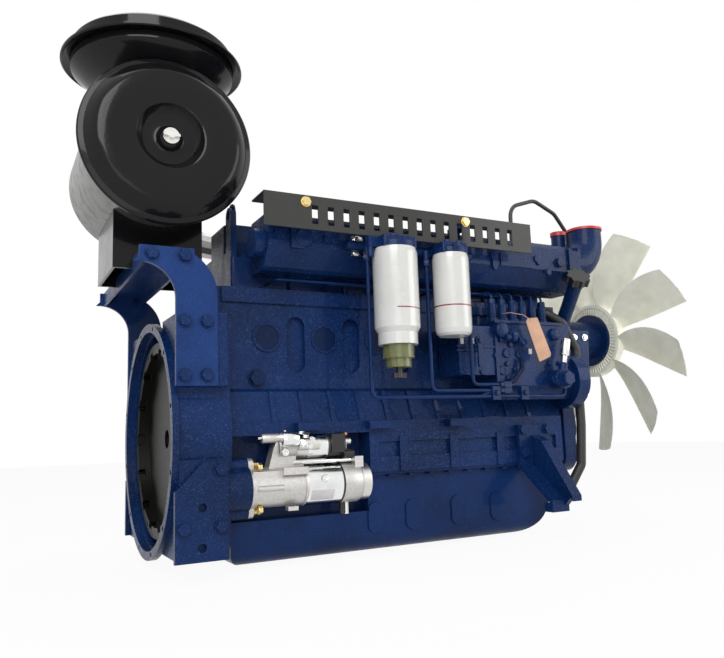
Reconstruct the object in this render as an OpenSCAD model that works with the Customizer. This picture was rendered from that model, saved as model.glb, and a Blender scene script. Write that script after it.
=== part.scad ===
// Six-cylinder diesel engine with flywheel housing, air cleaner, fuel system, starter and fan.
// +X runs along the crankshaft from the flywheel to the fan, -Y is the fuel side, +Z is up.
// The origin is on the crank axis, in the rear face of the flywheel housing.

/* [Cylinders and crank] */
// Distance between neighbouring cylinder centres
bore_pitch = 148; // [147:1:150]
// Bore of each cylinder
bore_d = 126; // [120:1:127]
// Throw of the crank, half of the stroke
crank_throw = 65; // [60:1:66]
// Length of a connecting rod between its centres
rod_len = 219; // [216:1:222]
// Height of the cylinder deck over the crank axis
deck_z = 345; // [345:1:350]
// Diameter of the main journals
main_d = 90; // [80:1:95]

/* [Block and pan] */
// Half width of the block beside the cylinders
block_y = 185; // [183:1:186]
// Half width of the block at its lower rail
rail_y = 232; // [230:1:233]
// Depth of the bedplate under the crank axis
bedplate_h = 96; // [92:1:98]
// Half width of the oil pan
pan_y = 214; // [205:1:216]
// Depth of the oil pan under the bedplate
pan_h = 186; // [180:1:210]
// Wall of the oil pan
pan_wall = 4; // [3:0.5:6]

/* [Flywheel housing] */
// Bore that centres the driven machine
sae_bore_d = 511.2; // [511.2:0.1:511.6]
// Circle of the flange bolts
sae_pcd = 530.2; // [529:0.1:532]
// Outside of the flange
flange_d = 552; // [550:1:554]
// Length of the housing from flange to block
housing_len = 130; // [128:1:134]
// Holes of the flange bolts
flange_hole_d = 11; // [9:0.5:12]
// Half width over the side pads
pad_y = 272; // [272:1:274]

/* [Arch bracket] */
// Thickness of the side plates
arch_t = 10; // [8:1:12]
// Height of the underside of the cross channel
channel_z = 368; // [366:1:370]
// Height of the cross channel
channel_h = 34; // [30:1:36]
// Depth of the cross channel along the crank
channel_w = 110; // [104:1:112]

/* [Air cleaner] */
// Diameter of the canister
cleaner_d = 330; // [320:2:336]
// Length of the canister
cleaner_len = 365; // [340:5:380]
// Height of the canister axis
cleaner_z = 647; // [645:1:655]
// Diameter of the rain cap
cap_d = 422; // [410:2:434]

/* [Manifold and guard] */
// Distance of the manifold face from the crank axis
manifold_y = 275; // [272:1:277]
// Distance of the guard plate from the crank axis
guard_y = 330; // [326:1:332]
// Thickness of the guard plate
guard_t = 4; // [3:0.5:5]
// Length of the guard plate
guard_len = 755; // [700:5:770]

/* [Filters] */
// Diameter of the prefilter canister
prefilter_d = 108; // [100:1:110]
// Diameter of the fuel filter canister
filter_d = 91; // [86:1:95]
// Distance of both canister axes from the crank axis
filter_y = 335; // [334:1:340]

/* [Fan] */
// Diameter over the fan blades
fan_d = 732; // [700:2:750]
// Number of fan blades
fan_blades = 10; // [7:1:10]
// Height of the fan axis
fan_z = 280; // [278:1:284]
// Pitch diameter of the fan pulley
fan_pulley_d = 200; // [180:2:210]
// Pitch diameter of the crank pulley
crank_pulley_d = 260; // [240:2:264]

/* [Gears] */
// Module of the timing gears
gear_m = 2.8; // [2.8:0.1:2.8]
// Module of the starter ring gear
ring_m = 3; // [3:0.1:3]
// Play between the flanks of meshing teeth
tooth_play = 0.5; // [0.3:0.1:0.6]

/* [Hidden] */
$fn = 64;

// Overrun of every cut
over = 2;
// Radial play of a shaft in its bore
run = 0.05;
// Gap between curved faces that are seated
seat = 0.3;
// Number of cylinders
cylinders = 6;

// Places along the crank that follow from the sizes above
end_margin = 110;
block_x0 = housing_len;
cyl_x0 = block_x0 + end_margin;
block_x1 = cyl_x0 + (cylinders - 1) * bore_pitch + end_margin;
block_len = block_x1 - block_x0;
mid_x = (block_x0 + block_x1) / 2;
function cyl_x(i) = cyl_x0 + i * bore_pitch;

// Outline of the block: ledge under the cylinder wall and slope to the rail
ledge_z = 108;
ledge_drop = 8;
ledge_y = 200;
slope_y = 228;
slope_z = 28;
main_r = main_d / 2;
bay_r = 118;
bay_len = 108;

// Cylinder liners and pistons
liner_wall = 7;
liner_len = 236;
piston_play = 0.1;
piston_h = 108;
pin_above = 60;
pin_r = 22;
crown_bowl_r = 40;
crown_bowl_h = 18;

// Crankshaft
web_t = 22;
pin_journal_r = 38;
counter_r = 112;
snout_r = 29;
crank_back = 44;
crank_flange_r = 58;
crank_flange_t = 16;
throw_turns = [0, 120, 240, 240, 120, 0];

// Bearings of the camshaft
cam_y = -106;
cam_z = 114;
cam_r = 28;
lobe_r = 24;
lobe_lift = 3;

// Oil pan
pan_flange_t = 6;
pan_flange_y = 228;
pan_x0 = 140;
pan_x1 = 1050;
pan_r = 42;
pan_nose_r = 120;
pan_heel_r = 30;
pan_rib_w = 40;
pan_rib_t = 4;
pan_rib_shares = [0.393, 0.508, 0.656, 0.792];
pan_rib_places = [for (share = pan_rib_shares) pan_x0 + share * (pan_x1 - pan_x0)];

// Recess of the crankcase that gives the starter its room
relief_len = 350;
relief_y = 175;
relief_drop = 186;

// Cylinder heads and rocker covers
head_y = 150;
head_h = 100;
head_gap = 2;
cover_y = 75;
cover_h = 84;
cover_r = 22;

// Flywheel housing
flange_t = 14;
bell_r = 262;
pilot_depth = 20;
cavity_r = 250;
wall_t = 12;
seal_r = 62;
lower_pad_z0 = -250;
lower_pad_z1 = -45;
upper_pad_z0 = 108;
upper_pad_z1 = 267;
pad_x1 = 118;
pad_depth = 112;

// Rear mount plates and their bolts
mount_t = 12;
mount_x0 = 3;
mount_x1 = 115;
mount_z0 = -250;
mount_z1 = -50;
mount_chamfer = 58;
mount_bolt_x0 = 20;
mount_bolt_x1 = 98;
mount_bolt_z0 = -182;
mount_bolt_z1 = -66;
mount_bolts = [[mount_bolt_x0, mount_bolt_z0], [mount_bolt_x1, mount_bolt_z0], [mount_bolt_x1, mount_bolt_z1]];
mount_eye_x = 59;
mount_eye_z = -182;
mount_eye_pitch = 80;
mount_eyes = [for (s = [-1, 1]) [mount_eye_x, mount_eye_z + s * mount_eye_pitch / 2]];
mount_eye_r = 9;
bolt_r = 8;
bolt_play = 0.5;
bolt_len = 24;

// Arch bracket: outline of its side plates
arch_top = 402;
arch_x0 = -70;
arch_x1 = 94;
arch_foot_x = 5;
arch_bolt_x0 = -46;
arch_bolt_x1 = 23;
arch_bolt_x2 = 70;
arch_bolt_in = 22;
arch_bolts = concat([for (x = [arch_bolt_x0, arch_bolt_x1]) [x, channel_z + channel_h / 2]],
    [for (z = [upper_pad_z1 - arch_bolt_in, upper_pad_z0 + arch_bolt_in], x = [arch_bolt_x1, arch_bolt_x2]) [x, z]]);
channel_t = 7;

// Flywheel
fly_x0 = 20;
fly_x1 = 80;
fly_r = 231;
fly_recess_r = 206;
fly_recess_x = 50;
fly_notch_w = 30;
fly_notch_h = 22;
fly_notches = 14;
fly_pcd = 438.2;
fly_hole_r = 5;
ring_x0 = 60;
ring_x1 = 75;
ring_teeth = 156;

// Starter
pinion_teeth = 12;
starter_y = 225;
starter_z = -sqrt(pow(ring_m * (ring_teeth + pinion_teeth) / 2, 2) - starter_y * starter_y);
pinion_x0 = 85;
pinion_len = 25;
pinion_sleeve_r = 13;
nose_r = 34;
adapter_len = 42;
adapter_r = 62;
stud_pitch = 98;
stud_boss_r = 18;
starter_x0 = block_x0 + adapter_len;
starter_flange_t = 12;
starter_r = 44;
yoke_x0 = 303;
yoke_x1 = 409;
yoke_r = 45;
starter_end_x = 465;
solenoid_z = starter_z + 84;
solenoid_r = 26;
solenoid_x0 = 285;
solenoid_x1 = 360;
solenoid_cap_x = 407;

// Timing gears: teeth, centres and phases at rest
crank_teeth = 24;
idler_teeth = 40;
cam_teeth = 48;
pump_teeth = 48;
gear_t = 20;
gear_x0 = block_x1 + 6;
idler_r = gear_m * (crank_teeth + idler_teeth) / 2;
idler_cam = gear_m * (idler_teeth + cam_teeth) / 2;
cam_pump = gear_m * (cam_teeth + pump_teeth) / 2;
cam_dist = norm([cam_y, cam_z]);
cam_angle = atan2(cam_z, cam_y);
idler_swing = acos((idler_r * idler_r + cam_dist * cam_dist - idler_cam * idler_cam) / (2 * idler_r * cam_dist));
idler_angle = cam_angle - idler_swing;
idler_y = idler_r * cos(idler_angle);
idler_z = idler_r * sin(idler_angle);
pump_z = 124;
pump_y = cam_y - sqrt(cam_pump * cam_pump - (pump_z - cam_z) * (pump_z - cam_z));
idler_pin_r = 15;

// Timing case
case_x1 = block_x1 + 40;
front_x1 = case_x1 + 42;
case_wall = 4;
case_y = 190;
case_lobe_r = 77;
front_y = 200;
front_z0 = -130;
front_z1 = 330;
boss_x1 = 1228;
neck_r = 19.5;
neck_foot = [1152, -178, 262];
neck_top = [1110, -312, 395];
neck_cap_r = 29;
neck_cap_h = 22;

// Injection pump on the back of the timing case
inj_x0 = 835;
inj_z0 = 72;
inj_z1 = 278;
inj_y0 = 288;
inj_y1 = 190;
gov_x0 = 715;
gov_z0 = 135;
gov_z1 = 262;
valve_x0 = 857;
valve_pitch = 34.8;
valve_y = 250;
valve_h = 52;
valve_r = 11;

// Fuel lines and injection lines
line_r = 5;
jet_r = 3.2;
line_y = 305;
line_z = 79;
line_bend = 14;
union_r = 8;
union_h = 24;
jet_bend = 14;
jet_z = 362;
jet_lane = 222;
jet_step = 9;

// Intake manifold
man_x0 = 215;
man_x1 = 1165;
man_z0 = 380;
man_face_z = 432;
man_z1 = 508;
elbow_r = 49;
elbow_bend = 77;
elbow_y = 225;
elbow_z = 465;
elbow_top = 574;
elbow_flange_t = 10;

// Guard plate
guard_x0 = 185;
guard_z0 = 458;
guard_z1 = 537;
guard_fold = 80;
slot_w = 16;
slot_h = 44;
slot_count = 15;
slot_x0 = 300;
slot_pitch = 40;
strap_w = 34;
strap_t = 8;
strap_x0 = 285;
strap_x1 = 725;

// Filters
prefilter_x = 510;
filter_x = 670;
prefilter_z0 = 232;
filter_z0 = 225;
canister_z1 = 428;
filter_head_z = 455;
collar_h = 33;
bowl_r = 37;
bowl_h = 53;
drain_r = 7;

// Fan and its hub
fan_x = 1477;
fan_ring_r = 122;
fan_ring_t = 14;
fan_disc_r = 86;
fan_disc_t = 10;
fan_spacer_r = 60;
blade_t = 4;
blade_chord = 135;
blade_tilt_angle = 29;
blade_turn_angle = 5.4;
pulley_x0 = 1195;
pulley_x1 = 1240;
belt_w = 12;
belt_h = 9;
belt_gap = 18;
alt_pulley_r = 38;
alt_y = 272;
alt_z = 200;
alt_r = 68;
coolant_x1 = 1190;
coolant_r = 80;
fan_shaft_r = 15;

// Air cleaner
channel_x = -62;
cleaner_x = channel_x + channel_w / 2;
cleaner_y0 = -245;
cleaner_y1 = cleaner_y0 + cleaner_len;
cleaner_t = 3;
rim_w = 24;
rim_r = cleaner_d / 2 + rim_w;
rim_t = 16;
cover_slope_w = 19;
cover_r1 = rim_r - cover_slope_w;
cover_bulge = 44;
dish_r = 64;
dish_h = 10;
nut_r = 22;
cap_z = 889;
cap_y = -95;
cap_h = 50;
band_r = 187;

// Turbocharger and exhaust on the far side
exhaust_y = 196;
exhaust_z = 408;
exhaust_r = 32;
turbo_x = 540;
turbo_y = 215;
turbo_z = 530;
turbine_r = 74;
compressor_r = 80;
inlet_r = 45;
duct_r = 36;
outlet_bore_r = 30;
duct_bend = 60;

// Front mount brackets
front_x0 = 926;
front_x1b = 1035;
front_t = 14;
front_z_top = 5;
front_z_low = -111;

// A solid from a (Y, Z) outline, along X
module along_x(x0, x1)
    translate([x0, 0, 0]) rotate([90, 0, 90]) linear_extrude(x1 - x0) children();

// A solid from an (X, Z) outline, along Y
module along_y(y0, y1)
    translate([0, y1, 0]) rotate([90, 0, 0]) linear_extrude(y1 - y0) children();

// A solid from an (X, Y) outline, along Z
module along_z(z0, z1)
    translate([0, 0, z0]) linear_extrude(z1 - z0) children();

module rod_x(r, x0, x1, y, z)
    translate([x0, y, z]) rotate([0, 90, 0]) cylinder(r = r, h = x1 - x0);

module rod_y(r, y0, y1, x, z)
    translate([x, y1, z]) rotate([90, 0, 0]) cylinder(r = r, h = y1 - y0);

module rod_z(r, z0, z1, x, y)
    translate([x, y, z0]) cylinder(r = r, h = z1 - z0);

module box(x0, x1, y0, y1, z0, z1)
    translate([x0, y0, z0]) cube([x1 - x0, y1 - y0, z1 - z0]);

// The same piece on both sides of the engine
module both_sides() {
    children();
    mirror([0, 1, 0]) children();
}

// Outline of a rectangle with round corners
module rounded(x0, x1, z0, z1, r) {
    translate([x0 + r, z0]) square([x1 - x0 - 2 * r, z1 - z0]);
    translate([x0, z0 + r]) square([x1 - x0, z1 - z0 - 2 * r]);
    for (x = [x0 + r, x1 - r], z = [z0 + r, z1 - r]) translate([x, z]) circle(r);
}

// Outline of a bar with round ends, standing up
module upright_slot(x, z0, z1, r) {
    translate([x - r, z0 + r]) square([2 * r, z1 - z0 - 2 * r]);
    for (z = [z0 + r, z1 - r]) translate([x, z]) circle(r);
}

// Hexagon bolt head with its washer, standing on the plane z = 0
module bolt_head(r) {
    cylinder(r = 1.9 * r, h = 0.3 * r);
    translate([0, 0, 0.3 * r]) cylinder(r = 1.65 * r, h = r, $fn = 6);
}

// Bolt through a side plate: head outside, shank inwards
module side_bolt(x, y, z, r, shank)
    translate([x, y, z]) rotate([90, 0, 0]) {
        bolt_head(r);
        translate([0, 0, -shank]) cylinder(r = r, h = shank + r / 2);
    }

// Round pipes: the corners of a route become arcs and a ring is carried along
function unit(v) = v / norm(v);
function spin(v, axis, turn) =
    v * cos(turn) + cross(axis, v) * sin(turn) + axis * (axis * v) * (1 - cos(turn));
function corner(a, b, c, r, n) =
    let (u = unit(a - b), w = unit(c - b), half = acos(u * w) / 2,
         hub = b + unit(u + w) * r / sin(half), p = b + u * r / tan(half), q = b + w * r / tan(half),
         axis = unit(cross(p - hub, q - hub)))
    [for (k = [0 : n]) hub + spin(p - hub, axis, (180 - 2 * half) * k / n)];
function route(p, r, n) =
    [p[0], for (i = [1 : len(p) - 2]) each corner(p[i - 1], p[i], p[i + 1], r, n), p[len(p) - 1]];
function headings(p) =
    [for (i = [0 : len(p) - 1]) unit(p[min(i + 1, len(p) - 1)] - p[max(i - 1, 0)])];
function carried(t) =
    [for (i = 0, n = unit(cross(t[0], abs(t[0][2]) < 0.9 ? [0, 0, 1] : [1, 0, 0])); i < len(t);
          i = i + 1, n = unit(n - t[min(i, len(t) - 1)] * (n * t[min(i, len(t) - 1)]))) n];
module tube(p, radii, m) {
    t = headings(p);
    n = carried(t);
    last = (len(p) - 1) * m;
    polyhedron(
        points = [for (i = [0 : len(p) - 1], k = [0 : m - 1])
            p[i] + radii[i] * (n[i] * cos(360 * k / m) + cross(t[i], n[i]) * sin(360 * k / m))],
        faces = concat(
            [[for (k = [0 : m - 1]) k]],
            [for (i = [0 : len(p) - 2], k = [0 : m - 1]) each
                [[i * m + k, (i + 1) * m + k, (i + 1) * m + (k + 1) % m],
                 [i * m + k, (i + 1) * m + (k + 1) % m, i * m + (k + 1) % m]]],
            [[for (k = [0 : m - 1]) last + m - 1 - k]]));
}
module pipe(p, r, bend, m = 8) {
    q = route(p, bend, 3);
    tube(q, [for (i = q) r], m);
}

// Lays a piece that stands on z = 0 along a direction
module aim(a, d)
    translate(a) rotate([0, acos(d[2] / norm(d)), atan2(d[1], d[0])]) children();

// Involute teeth: half of the tooth angle at a radius
function roll(a) = tan(a) * 180 / PI - a;
function half_tooth(r, z, m, play) =
    90 / z - play / 2 / (z * m / 2) * 180 / PI / 2 + roll(20) - roll(acos(min(1, z * m / 2 * cos(20) / r)));
function gear_points(z, m, play, phase) =
    let (base = z * m / 2 * cos(20), root = z * m / 2 - 1.25 * m, foot = max(base, root), pitch = z * m / 2,
         tip = pitch + m)
    [for (i = [0 : z - 1]) each
        let (a = phase + 360 * i / z)
        [for (s = [[root, -1], [foot, -1], [pitch, -1], [tip, -1], [tip, 1], [pitch, 1], [foot, 1], [root, 1]])
            let (h = s[1] * half_tooth(max(s[0], foot), z, m, play)) s[0] * [cos(a + h), sin(a + h)]]];
// Phase of a gear that meshes at the angle of the centre line with a gear of known phase
function meshed(line, phase, z, z_next) =
    line + 180 - 360 / z_next * (0.5 - (line - phase) * z / 360);

idler_phase = meshed(idler_angle, idler_angle, crank_teeth, idler_teeth);
cam_line = atan2(cam_z - idler_z, cam_y - idler_y);
cam_phase = meshed(cam_line, idler_phase, idler_teeth, cam_teeth);
pump_line = atan2(pump_z - cam_z, pump_y - cam_y);
pump_phase = meshed(pump_line, cam_phase, cam_teeth, pump_teeth);
starter_line = atan2(starter_z, -starter_y) + 360;
pinion_phase = meshed(starter_line, 0, ring_teeth, pinion_teeth);

// Outline of the block beside the cylinders and down to the rail
module block_outline()
    polygon([[-rail_y, 0], [-rail_y, slope_z], [-slope_y, slope_z], [-ledge_y, ledge_z - ledge_drop],
        [-block_y, ledge_z], [-block_y, deck_z], [block_y, deck_z], [block_y, ledge_z],
        [ledge_y, ledge_z - ledge_drop], [slope_y, slope_z], [rail_y, slope_z], [rail_y, 0]]);

// Main bearing bore and the bays in which the throws turn
module crank_bays() {
    rod_x(main_r + run, block_x0 - over, block_x1 + over, 0, 0);
    for (i = [0 : cylinders - 1])
        rod_x(bay_r, cyl_x(i) - bay_len / 2, cyl_x(i) + bay_len / 2, 0, 0);
}

liner_r = bore_d / 2 + liner_wall;
slot_r = 23;
window_z0 = 147;
window_z1 = 281;
window_depth = 14;
core_plug_r = 29;
core_plug_z = 229;
rib_w = 12;
rib_t = 7;
module cylinder_block() color("royalblue") difference() {
    union() {
        along_x(block_x0, block_x1) block_outline();
        // raised frame along the deck and posts between the cylinders
        both_sides() box(block_x0, block_x1, -block_y - rib_t, -block_y + over, deck_z - 3 * rib_w, deck_z);
        both_sides() for (i = [0 : cylinders - 1])
            rod_y(core_plug_r + rib_w / 2, -block_y - rib_t / 2, -block_y + over, cyl_x(i), core_plug_z);
        both_sides() for (i = [0 : 2 * cylinders - 2])
            along_x(cyl_x0 + i * bore_pitch / 2 - rib_w / 2, cyl_x0 + i * bore_pitch / 2 + rib_w / 2)
                polygon([[-slope_y + over, slope_z], [-slope_y - rib_t / 2, slope_z], [-ledge_y - rib_t,
                    ledge_z - ledge_drop], [-block_y + over, ledge_z]]);
        rod_z(2 * stick_r, slope_z + rib_w, stick_top - rib_w, stick_x, stick_y);
    }
    rod_z(stick_r + stick_play, -over, stick_top, stick_x, stick_y);
    crank_bays();
    rod_x(cam_r + run, block_x0 + 2 * wall_t, block_x1 + over, cam_y, cam_z);
    for (i = [0 : cylinders - 1])
        rod_z(liner_r + run, 0, deck_z + over, cyl_x(i), 0);
    // windows between the cylinders and seats of the core plugs
    both_sides() for (i = [0 : cylinders - 2]) along_y(-block_y - rib_t - over, -block_y + window_depth)
        upright_slot(cyl_x(i) + bore_pitch / 2, window_z0, window_z1, slot_r);
    both_sides() for (i = [0 : cylinders - 1])
        rod_y(core_plug_r, -block_y - rib_t, -block_y + rib_t, cyl_x(i), core_plug_z);
}

module bedplate() color("royalblue") difference() {
    union() {
        box(block_x0, block_x1, -rail_y, rail_y, -bedplate_h, 0);
        both_sides() for (share = [0.45, 0.605, 0.76])
            box(block_x0 + share * block_len, block_x0 + share * block_len + 2 * rib_w, -rail_y - rib_t / 2,
                -rail_y, -bedplate_h, -rib_w);
    }
    crank_bays();
    box(block_x0 - over, block_x0 + relief_len, -rail_y - rib_w, -relief_y, -bedplate_h - over, over);
    both_sides() box(block_x0 + relief_len + 2 * rib_w, block_x1 - 2 * rib_w, -rail_y - over,
        -rail_y + rib_t, -bedplate_h / 2 - rib_w, -2 * rib_w);
    rod_z(stick_r + stick_play, stick_z0 - over, over, stick_x, stick_y);
}

// Body of the pan: an outline across and an outline along, each with round corners
module pan_body(inset) {
    z1 = -bedplate_h - pan_flange_t;
    z0 = -bedplate_h - pan_h + inset;
    intersection() {
        along_x(pan_x0 + inset, pan_x1 - inset)
            difference() {
                rounded(-pan_y + inset, pan_y - inset, z0, z1 + pan_r, pan_r - inset);
                translate([-pan_y - over, z1 + (inset > 0 ? pan_r : 0)]) square([2 * pan_y + 2 * over, pan_h]);
            }
        along_y(-pan_y - over, pan_y + over) union() {
            translate([pan_x0 + inset + pan_heel_r, z0])
                square([pan_x1 - pan_x0 - 2 * inset - pan_nose_r - pan_heel_r, pan_h]);
            translate([pan_x0 + inset, z0 + pan_heel_r]) square([pan_nose_r, pan_h]);
            translate([pan_x0 + inset + pan_heel_r, z0 + pan_heel_r]) circle(pan_heel_r);
            translate([pan_x0 + inset, z0 + pan_nose_r]) square([pan_x1 - pan_x0 - 2 * inset, pan_h]);
            translate([pan_x1 - inset - pan_nose_r, z0 + pan_nose_r]) circle(pan_nose_r);
        }
    }
}

module pan_relief(inset)
    box(pan_x0 - over, block_x0 + relief_len + inset, -pan_flange_y - over, -relief_y + inset,
        -relief_drop - inset, over - bedplate_h);

module oil_pan() color("royalblue") difference() {
    union() {
        box(pan_x0, pan_x1, -pan_flange_y, pan_flange_y, -bedplate_h - pan_flange_t, -bedplate_h);
        pan_body(0);
        both_sides() for (x = pan_rib_places)
            along_y(-pan_y - pan_rib_t, -pan_y + over)
                upright_slot(x, -bedplate_h - pan_h + pan_r, -bedplate_h - 0.38 * pan_h, pan_rib_w / 2);
    }
    pan_relief(0);
    difference() {
        union() {
            pan_body(pan_wall);
            box(pan_x0 + pan_wall, pan_x1 - pan_wall, -pan_y + pan_wall, pan_y - pan_wall,
                -bedplate_h - 2 * pan_flange_t, over - bedplate_h);
        }
        pan_relief(pan_wall);
    }
}

hex_plug_r = 11;
hex_plug_x = 213;
hex_plug_z = 132;
drain_plug_h = 13;
module block_plugs() color("midnightblue") {
    both_sides() for (i = [0 : cylinders - 1])
        rod_y(core_plug_r - seat, -block_y - rib_t / 4, -block_y + rib_t, cyl_x(i), core_plug_z);
    translate([hex_plug_x, -block_y, hex_plug_z]) rotate([90, 0, 0]) bolt_head(hex_plug_r);
    for (share = [0.22, 0.592])
        translate([pan_x0 + share * (pan_x1 - pan_x0), 0, -bedplate_h - pan_h]) mirror([0, 0, 1])
            bolt_head(drain_plug_h / 1.3);
}

head_r = 8;
module cylinder_heads() color("royalblue") for (i = [0 : cylinders - 1]) {
    x0 = cyl_x(i) - bore_pitch / 2 + head_gap / 2;
    x1 = cyl_x(i) + bore_pitch / 2 - head_gap / 2;
    difference() {
        along_z(deck_z, deck_z + head_h) rounded(x0, x1, -head_y, head_y, head_r);
        both_sides() box(x0 - over, x1 + over, -head_y - over, -cover_y - cover_r - head_r,
            deck_z + 0.82 * head_h, deck_z + head_h + over);
        rod_z(crown_bowl_r / 4, deck_z - over, deck_z + head_h / 2, cyl_x(i), 0);
    }
}

module rocker_covers() color("royalblue") for (i = [0 : cylinders - 1]) {
    x0 = cyl_x(i) - bore_pitch / 2 + 2 * head_gap;
    x1 = cyl_x(i) + bore_pitch / 2 - 2 * head_gap;
    z0 = deck_z + head_h;
    along_z(z0, z0 + 0.14 * cover_h) rounded(x0, x1, -cover_y - cover_r / 2, cover_y + cover_r / 2, cover_r / 2);
    along_z(z0, z0 + cover_h) rounded(x0 + cover_r / 3, x1 - cover_r / 3, -cover_y, cover_y, cover_r);
    rod_z(cover_r / 2, z0, z0 + 1.15 * cover_h, cyl_x(i), cover_y / 2);
}

module cylinder_liners() color("silver") for (i = [0 : cylinders - 1]) difference() {
    rod_z(liner_r, deck_z - liner_len, deck_z, cyl_x(i), 0);
    rod_z(bore_d / 2, deck_z - liner_len - over, deck_z + over, cyl_x(i), 0);
}

// Height of a piston pin over the crank axis at a crank angle from the top
function pin_z(turn) =
    crank_throw * cos(turn) + sqrt(rod_len * rod_len - pow(crank_throw * sin(turn), 2));

module pistons() color("lightgray") for (i = [0 : cylinders - 1]) {
    z = pin_z(throw_turns[i]);
    difference() {
        rod_z(bore_d / 2 - piston_play, z + pin_above - piston_h, z + pin_above, cyl_x(i), 0);
        rod_z(crown_bowl_r, z + pin_above - crown_bowl_h, z + pin_above + over, cyl_x(i), 0);
        rod_z(0.8 * bore_d / 2, z + pin_above - piston_h - over, z + pin_above - 2 * crown_bowl_h, cyl_x(i), 0);
        rod_y(pin_r / 2, -bore_d, bore_d, cyl_x(i), z);
    }
}

module crankshaft() color("gray") {
    rod_x(main_r, block_x0, cyl_x0 - bay_len / 2, 0, 0);
    rod_x(main_r, block_x0 - crank_back, block_x0, 0, 0);
    rod_x(crank_flange_r, block_x0 - crank_back - crank_flange_t, block_x0 - crank_back, 0, 0);
    rod_x(main_r, cyl_x(cylinders - 1) + bay_len / 2, block_x1, 0, 0);
    for (i = [0 : cylinders - 2])
        rod_x(main_r, cyl_x(i) + bay_len / 2 - web_t, cyl_x(i + 1) - bay_len / 2 + web_t, 0, 0);
    for (i = [0 : cylinders - 1]) {
        y = crank_throw * sin(throw_turns[i]);
        z = crank_throw * cos(throw_turns[i]);
        rod_x(pin_journal_r, cyl_x(i) - bay_len / 2 + over, cyl_x(i) + bay_len / 2 - over, y, z);
        for (x = [cyl_x(i) - bay_len / 2 + over, cyl_x(i) + bay_len / 2 - over - web_t])
            along_x(x, x + web_t) intersection() {
                circle(counter_r);
                rotate(-throw_turns[i]) union() {
                    translate([-0.55 * counter_r, -0.2 * counter_r]) square([1.1 * counter_r, 1.1 * counter_r]);
                    translate([0, -0.1 * counter_r]) mirror([0, 1, 0])
                        translate([-0.8 * counter_r, 0]) square([1.6 * counter_r, counter_r]);
                }
            }
    }
    rod_x(main_r, cyl_x0 - bay_len / 2, cyl_x0 - bay_len / 2 + web_t, 0, 0);
    rod_x(main_r, cyl_x(cylinders - 1) + bay_len / 2 - web_t, cyl_x(cylinders - 1) + bay_len / 2, 0, 0);
    rod_x(snout_r, block_x1, pulley_x1, 0, 0);
    along_x(gear_x0, gear_x0 + gear_t) difference() {
        polygon(gear_points(crank_teeth, gear_m, tooth_play, idler_angle));
        circle(snout_r - over);
    }
}

module flywheel() color("dimgray") difference() {
    union() {
        rod_x(fly_r, fly_x0 + over, fly_x1, 0, 0);
        along_x(ring_x0, ring_x1) polygon(gear_points(ring_teeth, ring_m, tooth_play, 0));
    }
    rod_x(fly_recess_r, fly_x0, fly_recess_x, 0, 0);
    rod_x(crank_flange_r + run, block_x0 - crank_back - crank_flange_t, fly_x1 + over, 0, 0);
    rod_x(main_r / 2, fly_x0, fly_x1 + over, 0, 0);
    for (i = [0 : fly_notches - 1]) rotate([360 * i / fly_notches, 0, 0])
        box(fly_x0, fly_recess_x - rib_w, fly_recess_r - rib_w, fly_recess_r + fly_notch_h / 2,
            -fly_notch_w / 2, fly_notch_w / 2);
    for (i = [0 : 7]) rotate([45 * i + 45 / 2, 0, 0])
        rod_x(fly_hole_r, fly_x0, fly_recess_x, fly_pcd / 2, 0);
}

crank_pulley_r = crank_pulley_d / 2;
// A pulley with two grooves for the belts
module pulley(r, x0, x1, y, z) difference() {
    rod_x(r + belt_h / 2, x0, x1, y, z);
    for (s = [-1, 1]) translate([(x0 + x1) / 2 + s * belt_gap / 2, y, z]) rotate([0, 90, 0])
        rotate_extrude() translate([r - belt_h / 2 - run, -belt_w / 2 - run])
            square([2 * belt_h, belt_w + 2 * run]);
}

module crank_pulley() color("midnightblue") difference() {
    pulley(crank_pulley_r, pulley_x0, pulley_x1, 0, 0);
    rod_x(snout_r + run, pulley_x0 - over, pulley_x1 + over, 0, 0);
    rod_x(0.8 * crank_pulley_r, pulley_x1 - rib_w, pulley_x1 + over, 0, 0);
}

module camshaft() color("gray") {
    rod_x(0.7 * cam_r, block_x0 + 3 * wall_t, gear_x0, cam_y, cam_z);
    for (i = [0 : cylinders])
        rod_x(cam_r, cyl_x0 - bore_pitch / 2 + i * bore_pitch - web_t / 2,
            cyl_x0 - bore_pitch / 2 + i * bore_pitch + web_t / 2, cam_y, cam_z);
    for (i = [0 : cylinders - 1], s = [-1, 1])
        along_x(cyl_x(i) + s * web_t - rib_w / 2, cyl_x(i) + s * web_t + rib_w / 2)
            translate([cam_y, cam_z]) rotate(60 * i + 50 * s) {
                circle(lobe_r);
                translate([lobe_lift, 0]) circle(lobe_r - lobe_lift / 2);
            }
    along_x(gear_x0, gear_x0 + gear_t) translate([cam_y, cam_z])
        polygon(gear_points(cam_teeth, gear_m, tooth_play, cam_phase));
    rod_x(0.6 * cam_r, gear_x0 + gear_t, gear_x0 + gear_t + rib_w / 2, cam_y, cam_z);
}

module idler_gear() color("gray") along_x(gear_x0, gear_x0 + gear_t) translate([idler_y, idler_z])
    difference() {
        polygon(gear_points(idler_teeth, gear_m, tooth_play, idler_phase));
        circle(idler_pin_r + run);
        for (i = [0 : 4]) rotate(72 * i) translate([0.58 * idler_r / 1.6, 0]) circle(0.14 * idler_r);
    }

shaft_r = 12;
shaft_in = 30;
module pump_drive_gear() color("gray") {
    along_x(gear_x0, gear_x0 + gear_t) translate([pump_y, pump_z]) difference() {
        polygon(gear_points(pump_teeth, gear_m, tooth_play, pump_phase));
        for (i = [0 : 5]) rotate(60 * i) translate([0.3 * cam_pump, 0]) circle(0.09 * cam_pump);
    }
    rod_x(shaft_r, block_x1 - shaft_in, gear_x0, pump_y, pump_z);
}

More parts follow.
